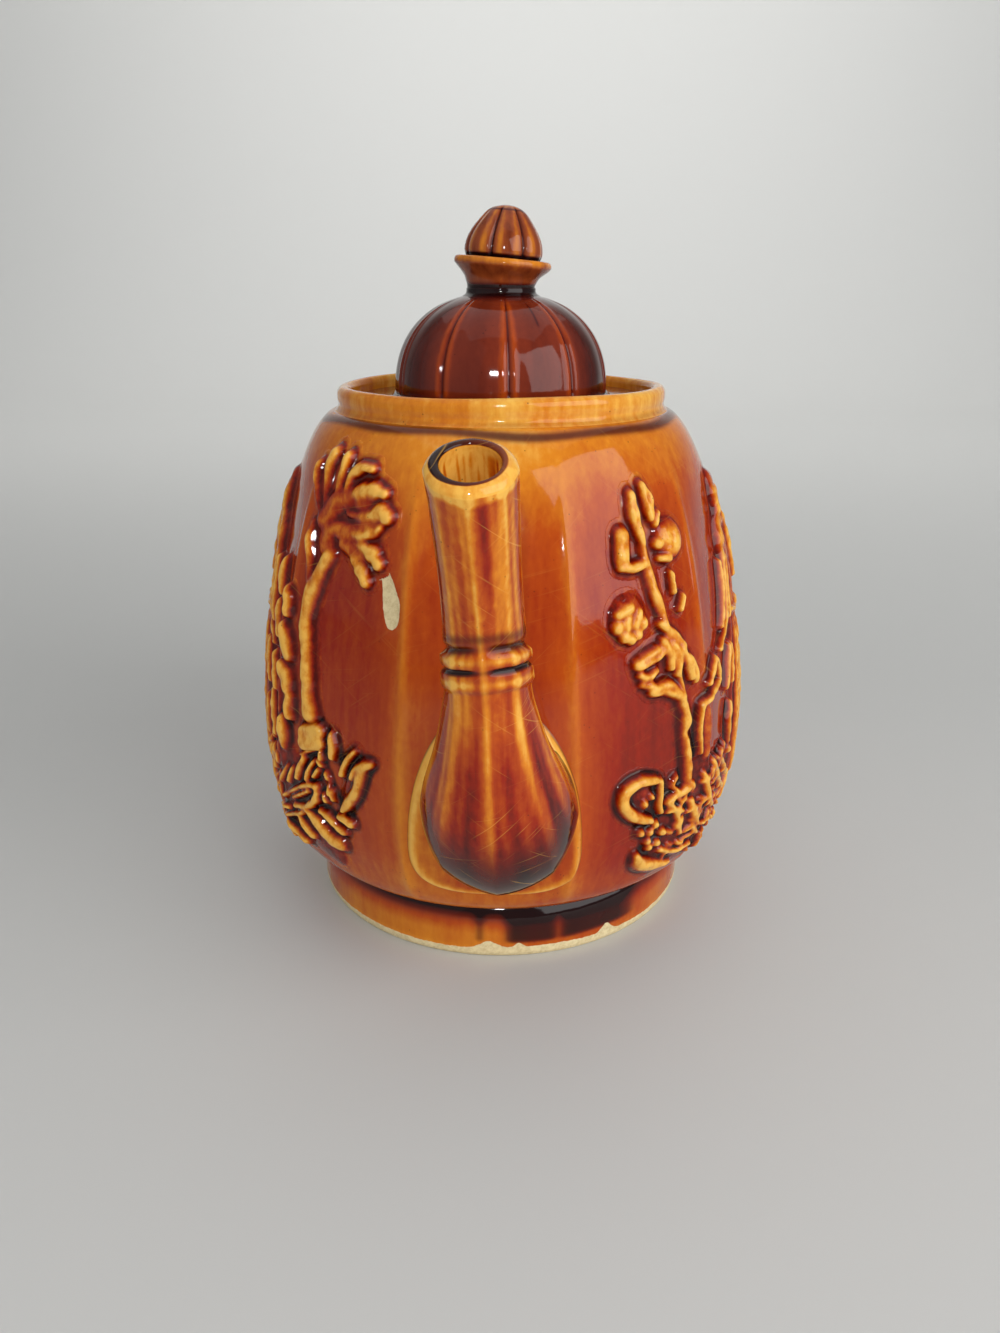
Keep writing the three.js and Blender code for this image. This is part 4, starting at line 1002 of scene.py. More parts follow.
def glaze(
    name, stops, streaks=0.13, blotches=0.10, mottled=0.0, speckled=0.6, worn=0.0, bare=False, grain=420
):
    """Treacle glaze: darker where it lies thick and amber where it runs thin, with runs, blotches,
    mottling, iron specks and scratches. It reads the mesh's thin and pool values, and its bare value
    where clay shows. On some parts thin and pool also hold painted light and painted shade."""
    n = Nodes(name)
    runs = n.noise((1, 1, 0.07), grain, 3.0)
    broad = n.noise((1, 1, 0.35), 60, 3.0)
    fine = n.noise((1, 1, 0.5), 900, 2.0)
    thin = n.add(n.value("thin"), n.centred(runs, streaks))
    thin = n.add(thin, n.centred(broad, blotches))
    if mottled:
        thin = n.add(thin, n.centred(n.noise((1, 1, 0.8), 480, 3.0, 0.6), mottled))
    thin = n.add(thin, n.centred(fine, 0.05), clamp=True)
    color = n.ramp(thin, stops)
    # Darker where the glaze pools, and also where a part's pool value holds painted shade
    pooled = n.add(n.value("pool"), n.centred(broad, 0.10), clamp=True)
    color = n.mix(n.remap(pooled, 0.05, 0.45, 0.0, 0.85), color, DEEP_BROWN)
    color = n.mix(n.remap(pooled, 0.30, 0.75, 0.0, 0.95), color, BLACK_BROWN)
    color = n.mix(n.times(specks(n, 620, 0.56), speckled), color, BLACK_BROWN)
    if worn:
        lines = scratches(n, (0.1, 0.8, 0.2), 2100)
        lines = n.math("MAXIMUM", lines, scratches(n, (0.0, -0.9, 0.1), 1800))
        lines = n.math("MAXIMUM", lines, scratches(n, (0.2, 1.3, 0), 1900))
        color = n.mix(n.times(lines, worn), color, HONEY)
    height = n.add(n.times(n.noise((1, 1, 1), 260, 2.0), 0.35), n.noise((1, 1, 0.3), 70, 1.0))
    relief = n.node("ShaderNodeBump")
    n.set(relief, {"Strength": 0.3, "Distance": 0.0003})
    shader = n.node("ShaderNodeBsdfPrincipled")
    n.set(shader, {"Roughness": GLAZE_ROUGHNESS, "IOR": GLAZE_IOR})
    if bare:
        sand = n.noise((1, 1, 1), 700, 4.0, 0.7)
        edge = n.add(n.value("bare"), n.centred(fine, 0.22))
        open_clay = n.times(n.remap(edge, 0.44, 0.54), n.remap(n.value("bare"), 0.02, 0.1))
        color = n.mix(open_clay, color, n.mix(n.remap(sand, 0.35, 0.7), CLAY, CLAY_SHADE))
        n.link(n.add(n.times(open_clay, CLAY_ROUGHNESS), GLAZE_ROUGHNESS), shader.inputs["Roughness"])
        height = n.add(height, n.times(n.times(sand, open_clay), 0.8))
    n.link(height, relief.inputs["Height"])
    n.link(color, shader.inputs["Base Color"])
    n.link(relief.outputs[0], shader.inputs["Normal"])
    out = n.node("ShaderNodeOutputMaterial")
    n.link(shader.outputs[0], out.inputs["Surface"])
    return n.material


BODY_STOPS = [(0.0, DEEP_BROWN), (0.24, RED_BROWN), (0.5, ORANGE_BROWN), (0.78, AMBER), (1.0, HONEY)]
LID_BROWN = linear(84, 24, 12)
LID_RED = linear(124, 44, 22)
LID_STOPS = [(0.0, BLACK_BROWN), (0.25, LID_BROWN), (0.55, LID_RED), (0.85, ORANGE_BROWN), (1.0, AMBER)]
KNOB_BROWN = linear(150, 70, 30)
KNOB_STOPS = [(0.0, BLACK_BROWN), (0.25, LID_BROWN), (0.55, KNOB_BROWN), (0.85, AMBER), (1.0, HONEY)]

body_glaze = glaze("treacle_glaze", BODY_STOPS, mottled=0.05, worn=0.06, bare=True)
relief_glaze = glaze("relief_glaze", BODY_STOPS, blotches=0.16, mottled=0.34, worn=0.1)
collar_glaze = glaze("amber_glaze", BODY_STOPS, streaks=0.18, blotches=0.24, mottled=0.12, speckled=0.8)
foot_glaze = glaze("foot_glaze", BODY_STOPS, streaks=0.08, blotches=0.25, bare=True)
spout_glaze = glaze(
    "spout_glaze", BODY_STOPS, streaks=0.14, blotches=0.12, mottled=0.14, worn=0.32, grain=950
)
lid_glaze = glaze("lid_glaze", LID_STOPS, streaks=0.1, blotches=0.08)
knob_glaze = glaze("knob_glaze", KNOB_STOPS, streaks=0.24, blotches=0.16)


# Pot


def body_shell():
    """The body with its panels outside and a plain wall inside; columns stand closer at the front."""
    angles = np.concatenate([np.arange(-125, 125, 0.5), np.arange(125, 235, 1.375)])[None]
    floor = FOOT_HEIGHT + SEAM
    lower = BELLY_HEIGHT - (BELLY_HEIGHT - WALL_BASE) * sine(np.linspace(90, 0, 40))
    upper = BELLY_HEIGHT + (SHOULDER_HEIGHT - BELLY_HEIGHT) * sine(np.linspace(0, 88.5, 90))
    outline = [[wall_radius(z), z] for z in np.concatenate([lower, upper[1:]])]
    outer = resample([[FOOT_RADIUS - FOOT_GROOVE - 0.4, floor], *outline], 0.58)
    inner = [[float(wall_radius(z)) - BODY_WALL, z] for z in np.linspace(BODY_TOP - 1, floor + 9, 20)]
    inner += [[inner[-1][0] - 4.2, floor + 4.8], [2, floor + FLOOR_THICKNESS]]
    profile = np.concatenate([[[2, floor]], outer, [[44.2, SHOULDER_HEIGHT]], inner])
    radius, z = np.split(profile, 2, axis=1)
    outside = np.zeros((len(profile), 1), bool)
    outside[1 : 1 + len(outer)] = True
    surface = radius + np.where(outside, wall_fillet(angles, z) - panel_dip(angles, z), 0)
    height = z + 0 * surface
    thin, pool = wall_glaze(angles, height)
    bare = on_map(CHIP, angles, height) * outside
    rows = spot(surface, angles, height)
    return skin("body_shell", rows, thin=np.where(outside, thin, 0.6), pool=pool * outside, bare=bare)


def foot_ring():
    """The foot, glazed down to an uneven line above bare clay, with a dark pool at the front."""
    angles = full_turn(540)
    inner = FOOT_RADIUS - FOOT_WIDTH
    outline = [
        (inner, 1.2),
        (inner + 1, 0),
        (FOOT_RADIUS - 0.9, 0),
        (FOOT_RADIUS, 1.4),
        (FOOT_RADIUS + 0.1, 9.5),
        (FOOT_RADIUS - 0.5, 12.6),
        (FOOT_RADIUS - FOOT_GROOVE - 0.5, FOOT_HEIGHT + 0.2),
        (inner - 1.5, FOOT_HEIGHT + 0.2),
    ]
    profile = resample(rounded(outline, 1.4, closed=True), 0.5)
    radius, z = np.split(profile, 2, axis=1)
    turned = from_spout(angles)
    wander = 0.8 * sine(3 * turned + 40) + 0.5 * sine(7 * turned)
    notch = 2.2 * bump(turned + 0.5, 3.2) + 2.6 * bump(turned - 35, 2.2) + 1.4 * bump(turned - 8, 1.4)
    edge = 3.0 + 0.35 * wander + notch
    under = radius <= inner + 0.4
    bare = np.where(under, 1, smoothstep(edge + 1.0, edge - 1.0, z))
    height = z + 0 * turned
    thin = 0.70 - 0.26 * smoothstep(7, 12, height) + 0.1 * smoothstep(5, 2, height)
    thin = thin - 0.26 * bump(turned - 36, 32) - 0.10 * bump(turned + 62, 14)
    pool = bump(height - FOOT_HEIGHT - 0.5, 2.4) * 0.9 + 0.28 * smoothstep(9.5, 13, height)
    patch = 0.62 * smoothstep(2, 7, turned) * smoothstep(50, 38, turned)
    patch = patch - 0.3 * bump(turned - 19.5, 1.6) + 0.3 * bump(turned + 3, 1.6)
    pool = pool + patch * smoothstep(4.2, 6.4, height + 0.4 * wander)
    return skin("foot_ring", spot(radius, angles, height), loop=True, thin=thin, pool=pool, bare=bare)


def gallery_collar():
    """The collar round the mouth, slightly uneven, with the ledge that the lid rests on."""
    angles = full_turn(540)
    outline = [
        (SHOULDER_RADIUS + 1.5, SHOULDER_HEIGHT - 1.1),
        (SHOULDER_RADIUS - 0.3, SHOULDER_HEIGHT + 0.1),
        (COLLAR_RADIUS - 0.4, SHOULDER_HEIGHT + 1.6),
        (COLLAR_RADIUS + 0.05, SHOULDER_HEIGHT + 3.2),
        (COLLAR_RADIUS, RIM_HEIGHT - 1.3),
        (COLLAR_RADIUS - 1, RIM_HEIGHT),
        (LEDGE_RADIUS + 0.9, RIM_HEIGHT),
        (LEDGE_RADIUS, RIM_HEIGHT - 1.2),
        (LEDGE_RADIUS, LEDGE_TOP),
        (MOUTH_RADIUS, LEDGE_TOP),
        (MOUTH_RADIUS, BODY_TOP + SEAM),
        (SHOULDER_RADIUS + 1.5, BODY_TOP + SEAM),
    ]
    profile = resample(rounded(outline, 1.3, closed=True), 0.35)
    radius, z = np.split(profile, 2, axis=1)
    sway = 0.22 * sine(2 * angles + 30) + 0.12 * sine(5 * angles) - 0.25
    height = z + sway * smoothstep(SHOULDER_HEIGHT, RIM_HEIGHT, z)
    inside = smoothstep(LEDGE_RADIUS + 1.6, LEDGE_RADIUS, radius)
    thin = 0.88 - 0.1 * inside - 0.16 * bump(from_spout(angles) + 38, 22)
    under = 0.2 * bump(height - SHOULDER_HEIGHT - 0.6, 1.1) * (radius > COLLAR_RADIUS - 2)
    # ledge: painted shade in the recess where the lid rests
    ledge = 0.5 * bump(height - LEDGE_TOP, 1.2) * (radius < LEDGE_RADIUS + 0.5)
    return skin("gallery_collar", spot(radius, angles, height), loop=True, thin=thin, pool=under + ledge)


# Spout: rings given by how far they stand out from the belly, how high above the root, how far the
# spout has turned upwards, and half their width and depth
SPOUT_ROOT = 54
SPOUT_RISE = 89.6
SPOUT_LEAN = 3.6
SPOUT_RINGS = [
    (-12, 0, 0, 19, 20.5),
    (1.5, 0.5, 12, 19.2, 20.8),
    (9.3, 5, 30, 18.6, 18.8),
    (14.8, 14, 50, 16.6, 15.8),
    (17.8, 25, 66, 13, 12.8),
    (20.1, 35, 74, 10.5, 10.5),
    (21.4, 41, 78, 9.45, 9.5),
    (23.4, 51, 78, 8.95, 9),
    (25.8, 59.5, 74, 8.6, 8.6),
    (29.3, 69.5, 71, 8.5, 8.5),
    (34.2, 83, 66, 8.8, 8.8),
    (37, 89.6, 63, 9, 9),
]
SPOUT_WALL = 3.1
SPOUT_COLUMNS = 192
SPOUT_FACETING = 0.34  # 0 is round, 1 is a true octagon
RIDGE_STEP = 45
ROOT_DEPTH = 3  # of the spout's and the handle's ends inside the wall


def to_ridge(turn):
    """Degrees to the nearest of the eight ridges."""
    share = np.mod(turn, RIDGE_STEP)
    return np.minimum(share, RIDGE_STEP - share)


def octagon(turn):
    """An eight-sided section's radius as a share of its ridges' radius."""
    return np.cos(np.radians(RIDGE_STEP / 2)) / cosine(RIDGE_STEP / 2 - to_ridge(turn))


def in_the_wall(x, z):
    """How far in front of the axis, or behind it, a piece ends that is rooted in the wall."""
    return np.sqrt(np.maximum((wall_radius(z) - ROOT_DEPTH) ** 2 - x**2, 0))


def spout_rows(rings, grow, faceted):
    """Points on the spout, in millimetres, one row a ring."""
    turn = full_turn(SPOUT_COLUMNS)
    out, up, pitch, width, depth = np.asarray(rings, float).T[:, :, None]
    ridge = 1 - faceted * (1 - octagon(turn))
    x = (width + grow) * ridge * sine(turn) + SPOUT_LEAN * (1 - up / SPOUT_RISE)
    along = (depth + grow) * ridge * cosine(turn)
    z = SPOUT_ROOT + up - along * cosine(pitch)
    y = np.maximum(BELLY_RADIUS + out + along * sine(pitch), in_the_wall(x, z))
    return np.stack([x, -y, z], -1)


def spout():
    """The faceted spout with its bead, lip and bore. Turn 0 is its upper ridge, in front."""
    turn = full_turn(SPOUT_COLUMNS)
    turned = from_spout(turn)
    rings = smooth_line(SPOUT_RINGS, 340)
    lengths = np.linspace(0, 1, len(rings))[:, None]
    faceted = SPOUT_FACETING * (1 - 0.5 * smoothstep(0.92, 0.99, lengths))
    plain = spout_rows(rings, 0, faceted)
    # Two grooves with a bead between them, slanting a little and fading at the front ridge
    place = plain[..., 2] - 0.09 * plain[..., 0] - 1.5 * cosine(turn)
    front = 1 - 0.75 * bump(turned, 15)
    deep = bump(place - 100.2, 0.75)
    soft = bump(place - 105, 1.0)
    raised = 0.8 * smoothstep(94.6, 96.4, place) * smoothstep(104.6, 103, place)
    grow = raised - (0.9 * deep + 0.7 * soft) * front
    rows = [spout_rows(rings, grow, faceted)]
    mouth = rings[-1]
    heading = np.array([math.cos(math.radians(mouth[2])), math.sin(math.radians(mouth[2]))])
    lip = [(0, 0), (0.4, 0.7), (1.2, 1.4), (2.1, 1.75), (2.8, 1.7), (3.2, 1.2), (3.2, 0)]
    lip = smooth_line(lip, 30)[1:]
    for inset, rise in lip:
        ring = [(*(mouth[:2] + rise * heading), *mouth[2:])]
        rows.append(spout_rows(ring, -inset, 0.5 * SPOUT_FACETING * smoothstep(2.6, 0.4, inset)))
    bore = spout_rows(rings[::-6], -SPOUT_WALL, 0)[1:]
    rows = np.concatenate([*rows, bore])
    scale = rings[:, 3:4]
    line = bump(np.radians(to_ridge(turn)) * scale, 0.9)
    valley = bump(np.radians(22.5 - to_ridge(turn)) * scale, 2.2)
    bulb = smoothstep(0.5, 0.36, lengths)
    # low: painted shade on the underside of the spout's lower bulb, near its root, in both thin and pool
    low = smoothstep(0.34, 0.12, lengths) * smoothstep(130, 60, np.abs(turned))
    beads = bump(place - 102.7, 0.9) + bump(place - 97.4, 0.9)
    # edges: painted shade along the tube's left and right sides
    edges = bump(np.abs(turned) - 95, 26) * (1 - bulb)
    honey = smoothstep(0.972, 0.995, lengths + 0.012 * bump(turned, 24))
    thin = 0.56 + 0.28 * line * (1 - 0.7 * low) - 0.20 * valley * bulb - 0.15 * bulb - 0.38 * low
    thin = thin - 0.22 * edges + 0.12 * runs_along(len(rings), SPOUT_COLUMNS, 2)
    thin = thin + 0.4 * beads * front + 0.42 * honey
    pool = (1.0 * deep + 0.6 * soft) * front + (0.8 + 0.2 * valley) * low
    pool = pool + 0.35 * bump(place - 107.6, 1.6) + 0.8 * smoothstep(0.13, 0.08, lengths)
    # On the lip a dark ring of glaze lies inside the honey edge, widest on the left and at the back,
    # and ends a few rows before the bore
    inset = lip[:, :1]
    width = 1.45 - 0.2 * cosine(turn) - 0.4 * sine(turn)
    before_bore = smoothstep(2.2, 1.6, np.arange(len(lip))[:, None] - 21)
    ring = smoothstep(2.9 - width, 3.2 - width, inset) * before_bore
    # In the bore the pale colour near the mouth is partly the glaze's own and partly painted light, the
    # darkening deeper in is painted shade, and the streaks are the glaze's own
    shade = np.linspace(0, 1, len(bore))[:, None] + 0 * turn
    thin = [thin, 0.95 - 0.35 * ring, 0.90 - 0.2 * shade + 0.20 * runs_along(*shade.shape, 3, 4)]
    pool = [pool, ring * (0.55 - 0.2 * sine(turn)), 0.8 * smoothstep(0.5, 0.9, shade)]
    return skin("spout", rows * MM, thin=np.concatenate(thin), pool=np.concatenate(pool))


def spout_pad():
    """The raised pad of clay round the spout's root: round above and squarish below."""
    turn = full_turn(240)
    reach = np.linspace(0, 1, 44)[:, None]
    across, upward = sine(turn), cosine(turn)
    tall = np.where(upward > 0, 40.5, 16.0)
    power = np.where(upward > 0, 2.0, 3.0)
    size = (np.abs(across) ** power + np.abs(upward) ** power) ** (-1 / power)
    x = 2 + 23.2 * size * across * reach
    z = 42 + tall * size * upward * reach
    angle = np.degrees(x / wall_radius(z))
    lift = 2.1 * smoothstep(1.0, 0.9, reach) - 0.3
    top = spot(wall(angle, z) + lift, angle, z)
    back = spot(wall(angle, z) - 1.5, angle, z)[::-1]
    thin = 0.34 + 0.50 * bump(reach - 0.92, 0.08) + 0.12 * smoothstep(50, 66, z)
    thin = thin + 0.20 * smoothstep(2, -14, x) + 0.14 * bump(x - 15, 5) * bump(z - 32, 8)
    pool = 0.75 * bump(reach - 1.0, 0.03)
    thin, pool = (np.concatenate([value, value[::-1]]) for value in (thin, pool))
    return skin("spout_pad", np.concatenate([top, back]), thin=thin, pool=pool)


HANDLE_TOP = 120
HANDLE_BOTTOM = 40
HANDLE_REACH = corner("handle")[1] - BELLY_RADIUS - 7.5  # of the line through its middle
HANDLE_HALF_WIDTH = 7.6
HANDLE_HALF_DEPTH = 7.2
HANDLE_RINGS = (0.13, 0.17, 0.60, 0.64)  # shares of its length
THUMB_REST_PLACE = 0.27


def handle_line():
    """The line through the middle of the handle, out from the axis and up, from its upper root."""
    span = HANDLE_TOP - HANDLE_BOTTOM
    wall_top = float(wall_radius(HANDLE_TOP))
    route = [
        (wall_top - 8, HANDLE_TOP - 2),
        (wall_top + 6, HANDLE_TOP + 4),
        (BELLY_RADIUS + 0.48 * HANDLE_REACH, HANDLE_TOP + 6),
        (BELLY_RADIUS + HANDLE_REACH - 4, HANDLE_BOTTOM + 0.88 * span),
        (BELLY_RADIUS + HANDLE_REACH, HANDLE_BOTTOM + 0.6 * span),
        (BELLY_RADIUS + 0.74 * HANDLE_REACH, HANDLE_BOTTOM + 0.3 * span),
        (BELLY_RADIUS + 0.34 * HANDLE_REACH, HANDLE_BOTTOM + 0.1 * span),
        (BELLY_RADIUS - 9, HANDLE_BOTTOM),
    ]
    return smooth_line(route, 300)


def handle():
    """A faceted loop with two banded joints and flared roots."""
    line = handle_line()
    ahead = np.gradient(line, axis=0)
    ahead /= np.linalg.norm(ahead, axis=1, keepdims=True)
    side = np.stack([-ahead[:, 1], ahead[:, 0]], -1)
    share = np.linspace(0, 1, len(line))[:, None]
    turn = full_turn(96)
    roots = smoothstep(0.18, 0.09, share) + smoothstep(0.85, 0.93, share)
    ridge = 1 - 0.6 * (1 - octagon(turn)) * (1 - roots)
    flare = 1 + 0.42 * (smoothstep(0.13, 0.02, share) + smoothstep(0.88, 0.98, share))
    knuckle = 1 + 0.05 * (bump(share - 0.62, 0.012) + bump(share - 0.15, 0.012))
    x = HANDLE_HALF_WIDTH * flare * knuckle * ridge * cosine(turn)
    deep = HANDLE_HALF_DEPTH * flare * knuckle * ridge * sine(turn)
    z = line[:, 1:] + side[:, 1:] * deep
    y = np.maximum(line[:, :1] + side[:, :1] * deep, in_the_wall(x, z))
    rows = np.stack([x, y, z], -1)
    rings = sum(bump(share - middle, 0.006) for middle in HANDLE_RINGS)
    ends = smoothstep(0.06, 0.0, share) + smoothstep(0.94, 1.0, share)
    thin = 0.42 + 0.36 * bump(to_ridge(turn), 4.5) + 0.1 * runs_along(*x.shape, 4)
    return skin("handle", rows * MM, thin=thin, pool=0.6 * rings + 0.5 * ends)


def thumb_rest():
    """A leaf-shaped spur that grows out of the top of the handle."""
    line = handle_line()
    passed = np.cumsum(np.linalg.norm(np.diff(line, axis=0), axis=1))
    at = int(np.searchsorted(passed, THUMB_REST_PLACE * passed[-1]))
    ahead = (line[at + 1] - line[at - 1]) / np.linalg.norm(line[at + 1] - line[at - 1])
    up = np.array([-ahead[1], ahead[0]])
    # Rows of rise above the handle, place along it, half width and half thickness
    spur = [
        (4, -3, 5.4, 8), (9, -0.8, 5.2, 5.2), (12, 1.8, 4.9, 3.8), (14.4, 4.6, 4.4, 3),
        (16, 9, 2.4, 1.6),
    ]
    spur = smooth_line(spur, 60)
    turn = full_turn(64)
    lift, back, half, thick = spur.T[:, :, None]
    deep = thick * sine(turn)
    y = line[at, 0] + up[0] * lift + ahead[0] * (back + deep)
    z = line[at, 1] + up[1] * lift + ahead[1] * (back + deep)
    share = np.linspace(0, 1, len(spur))[:, None]
    rows = np.stack([half * cosine(turn), y, z], -1) * MM
    thin, pool = 0.5 + 0.3 * smoothstep(0.4, 1, share), 0.5 * smoothstep(0.35, 0.1, share)
    return skin("thumb_rest", rows, thin=thin, pool=pool)


# Lid
FLANGE_THICKNESS = 3
BEZEL_WALL = 2.6
DOME_BASE = LID_BASE + 3.3
DOME_RADIUS = 29.1
DOME_RISE = 26.4
DOME_FULLNESS = 2.35
DOME_WALL = 3.6
NECK_RADIUS = 9.4
NECK_TOP = corner("lid_dome")[2]
LID_TURN = 7


def lobe_away(angles, lobes, offset):
    """Share of a lobe's half width from the nearest groove, 0 in the groove and 1 between two."""
    share = np.mod(angles - offset, 360 / lobes) / (360 / lobes)
    return 2 * np.minimum(share, 1 - share)


def dome_curve(shrink, rise):
    """The dome's outline, or one that lies inside it, at shares of its height."""
    out = (1 - rise**DOME_FULLNESS) ** (1 / DOME_FULLNESS)
    return np.stack([(DOME_RADIUS - shrink) * out, DOME_BASE + (DOME_RISE - shrink) * rise], -1)


def lid_dome():
    """The hollow dome with soft lobes, a groove between two of them, and the neck under the knob."""
    angles = full_turn(600)
    rise = sine(np.linspace(0, 81.5, 90))
    outer = dome_curve(0, rise)
    outer = outer[outer[:, 0] > NECK_RADIUS + 1.0]
    neck = rounded([outer[-1], (NECK_RADIUS, outer[-1][1] + 0.9), (NECK_RADIUS, NECK_TOP)], 1.0)
    inner = dome_curve(DOME_WALL, rise)[::-6]
    start = [(DOME_RADIUS + 1.6, DOME_BASE - 0.6), (DOME_RADIUS + 0.3, DOME_BASE + 0.5)]
    outer = resample(np.concatenate([start, outer, neck]), 0.35)
    inner = np.concatenate([inner, [(DOME_RADIUS - DOME_WALL, DOME_BASE - 0.6)]])
    profile = np.concatenate([inner, outer, [(1.0, NECK_TOP)]])
    radius, z = np.split(profile, 2, axis=1)
    outside = np.zeros((len(profile), 1), bool)
    outside[len(inner) : len(inner) + len(outer)] = True
    away = lobe_away(angles, PANELS, LID_TURN) * HALF_PANEL
    reach = smoothstep(NECK_TOP - 1.8, NECK_TOP - 5.0, z) * smoothstep(DOME_BASE - 0.5, DOME_BASE + 2, z)
    groove = 0.55 * bump(away, 1.2)
    beads = 0.2 * bump(away - 2.9, 1.5)
    belly = 0.3 * smoothstep(3, 16, away)
    surface = radius + np.where(outside, reach * (beads + belly - groove), 0)
    height = z + 0 * surface
    # A short dark stroke in the glaze on the front, above and right of a groove
    turned = from_spout(angles)
    below = NECK_TOP - z
    dash = bump(turned - 27, 1.3) * smoothstep(10, 8.5, below) * smoothstep(3, 4.5, below)
    thin = 0.48 + 0.26 * bump(away - 2.8, 2.4) * reach - 0.08 * smoothstep(8, 16, away)
    # Darker away from the front: painted shade on the dome's sides and back
    thin = thin - 0.30 * smoothstep(22, 70, np.abs(turned - 4))
    pool = 0.5 * bump(away, 0.7) * reach + 0.95 * bump(height - NECK_TOP + 1.0, 1.5) + 0.5 * dash
    pool = pool + 0.6 * bump(height - DOME_BASE, 1.0)
    rows = spot(surface, angles, height)
    return skin("lid_dome", rows, thin=thin, pool=np.where(outside, pool, 0.2))


def plain_ring(name, outline, corners, thin, pool):
    """A turned ring with rounded corners, whose glaze runs thin towards its widest edge."""
    radius, z = np.split(resample(rounded(outline, corners, closed=True), 0.5), 2, axis=1)
    edge = np.maximum(0, 1 - np.abs(radius - radius.max()) / 3)
    rows = spot(radius, full_turn(360), z)
    return skin(name, rows, loop=True, thin=thin + 0.15 * edge, pool=pool * (1 - edge))


def lid_flange():
    inner, top = DOME_RADIUS - DOME_WALL, LID_BASE + FLANGE_THICKNESS
    outer = [(LID_RADIUS, LID_BASE), (LID_RADIUS, top - 1), (LID_RADIUS - 1.6, top)]
    return plain_ring("lid_flange", [(inner, LID_BASE), *outer, (inner, top)], 0.8, 0.5, 0.3)


def lid_bezel():
    inner, top = BEZEL_RADIUS - BEZEL_WALL, LID_BASE + 0.1
    outline = [(inner, BEZEL_BASE), (BEZEL_RADIUS, BEZEL_BASE), (BEZEL_RADIUS, top), (inner, top)]
    return plain_ring("lid_bezel", outline, 0.9, 0.7, 0.1)


KNOB_BASE = NECK_TOP + 0.1
KNOB_HEIGHT = 7.6
KNOB_RADIUS = 13.2
KNOB_SLOPE = math.tan(math.radians(4.9))
BUD_LOBES = 7
BUD_TURN = -17


def leaned(rows):
    """The knob leans over a little more the higher it is, and its rim is askew."""
    x, y, z = (rows / MM).transpose(2, 0, 1)
    up = z - KNOB_BASE
    share = np.clip(up / (KNOB_HEIGHT * 0.6), 0, 1)
    return np.stack([x + up * KNOB_SLOPE, y, z - x * KNOB_SLOPE * share], -1) * MM


def knob_flange():
    """The trumpet-shaped collar under the bud, with a dark pool round the bud's foot."""
    angles = full_turn(360)
    outline = [
        (1, KNOB_BASE - 0.6),
        (NECK_RADIUS - 0.3, KNOB_BASE - 0.6),
        (NECK_RADIUS - 0.2, KNOB_BASE + 0.6),
        (NECK_RADIUS + 0.6, KNOB_BASE + KNOB_HEIGHT * 0.35),
        (KNOB_RADIUS - 1.2, KNOB_BASE + KNOB_HEIGHT * 0.60),
        (KNOB_RADIUS, KNOB_BASE + KNOB_HEIGHT * 0.76),
        (KNOB_RADIUS - 0.5, KNOB_BASE + KNOB_HEIGHT * 0.96),
        (9.4, KNOB_BASE + KNOB_HEIGHT * 0.97),
        (1, KNOB_BASE + KNOB_HEIGHT * 0.97),
    ]
    radius, z = np.split(resample(rounded(outline, 1.5), 0.3), 2, axis=1)
    wave = 0.18 * sine(3 * angles + 70) + 0.1 * sine(8 * angles)
    surface = radius + wave * smoothstep(NECK_RADIUS + 1, KNOB_RADIUS, radius)
    rows = leaned(spot(surface, angles, z))
    up = (z - KNOB_BASE) / KNOB_HEIGHT
    thin = 0.46 + 0.34 * smoothstep(0.62, 0.9, up)
    pool = 0.95 * bump(up + 0.02, 0.16) + 0.95 * (up > 0.9) * smoothstep(12.2, 11.2, surface)
    return skin("knob_flange", rows, thin=thin, pool=pool)


def knob_bud():
    """A grooved bud with a small button on top; its outline is (radius, height)."""
    angles = full_turn(360)
    base = KNOB_BASE + KNOB_HEIGHT + SEAM
    shape = [
        (9.2, -1.3), (10, 0.2), (10.2, 1.6), (9.7, 4), (8.5, 6.4), (6.6, 9), (4.7, 11.1), (3.2, 12),
        (1.6, 12.45), (0.3, 12.55),
    ]
    curve = smooth_line(shape, 60)
    profile = resample([(1, base - 1.3), *[(r, z + base) for r, z in curve]], 0.28)
    radius, z = np.split(profile, 2, axis=1)
    away = lobe_away(angles, BUD_LOBES, BUD_TURN)
    reach = smoothstep(2.2, 5.5, radius)
    surface = radius + reach * (0.35 * smoothstep(0.1, 0.8, away) - 0.85 * bump(away, 0.13))
    rows = leaned(spot(surface, angles, z))
    thin = 0.42 + 0.24 * bump(away - 0.5, 0.25) * reach + 0.2 * (1 - reach)
    pool = 0.6 * bump(away, 0.09) * reach + 0.95 * smoothstep(base + 0.9, base - 0.3, z)
    pool = pool + 0.45 * bump(z - base - 11.3, 0.35) * (radius > 2)
    return skin("knob_bud", rows, thin=thin, pool=pool)


# Assembly
add_piece("pot_body", body_shell(), "pot", "treacle_glaze", body_glaze, "body_shell")
add_piece("pot_foot_ring", foot_ring(), "pot", "foot_glaze", foot_glaze, "foot_ring")
add_piece("pot_collar", gallery_collar(), "pot", "amber_glaze", collar_glaze, "gallery_collar")
add_piece("pot_spout", spout(), "pot", "spout_glaze", spout_glaze, "spout")
add_piece("pot_spout_pad", spout_pad(), "pot", "amber_glaze", collar_glaze, "spout_pad")
add_piece("pot_handle", handle(), "pot", "spout_glaze", spout_glaze, "handle")
add_piece("pot_thumb_rest", thumb_rest(), "pot", "relief_glaze", relief_glaze, "thumb_rest")
for sprig, heights in SPRIGS.items():
    add_piece("sprig_" + sprig, sprig_mesh(sprig, heights), "pot", "relief_glaze", relief_glaze, sprig)
add_piece("lid_shell", lid_dome(), "lid", "lid_glaze", lid_glaze, "lid_dome")
add_piece("lid_seat", lid_flange(), "lid", "lid_glaze", lid_glaze, "lid_flange")
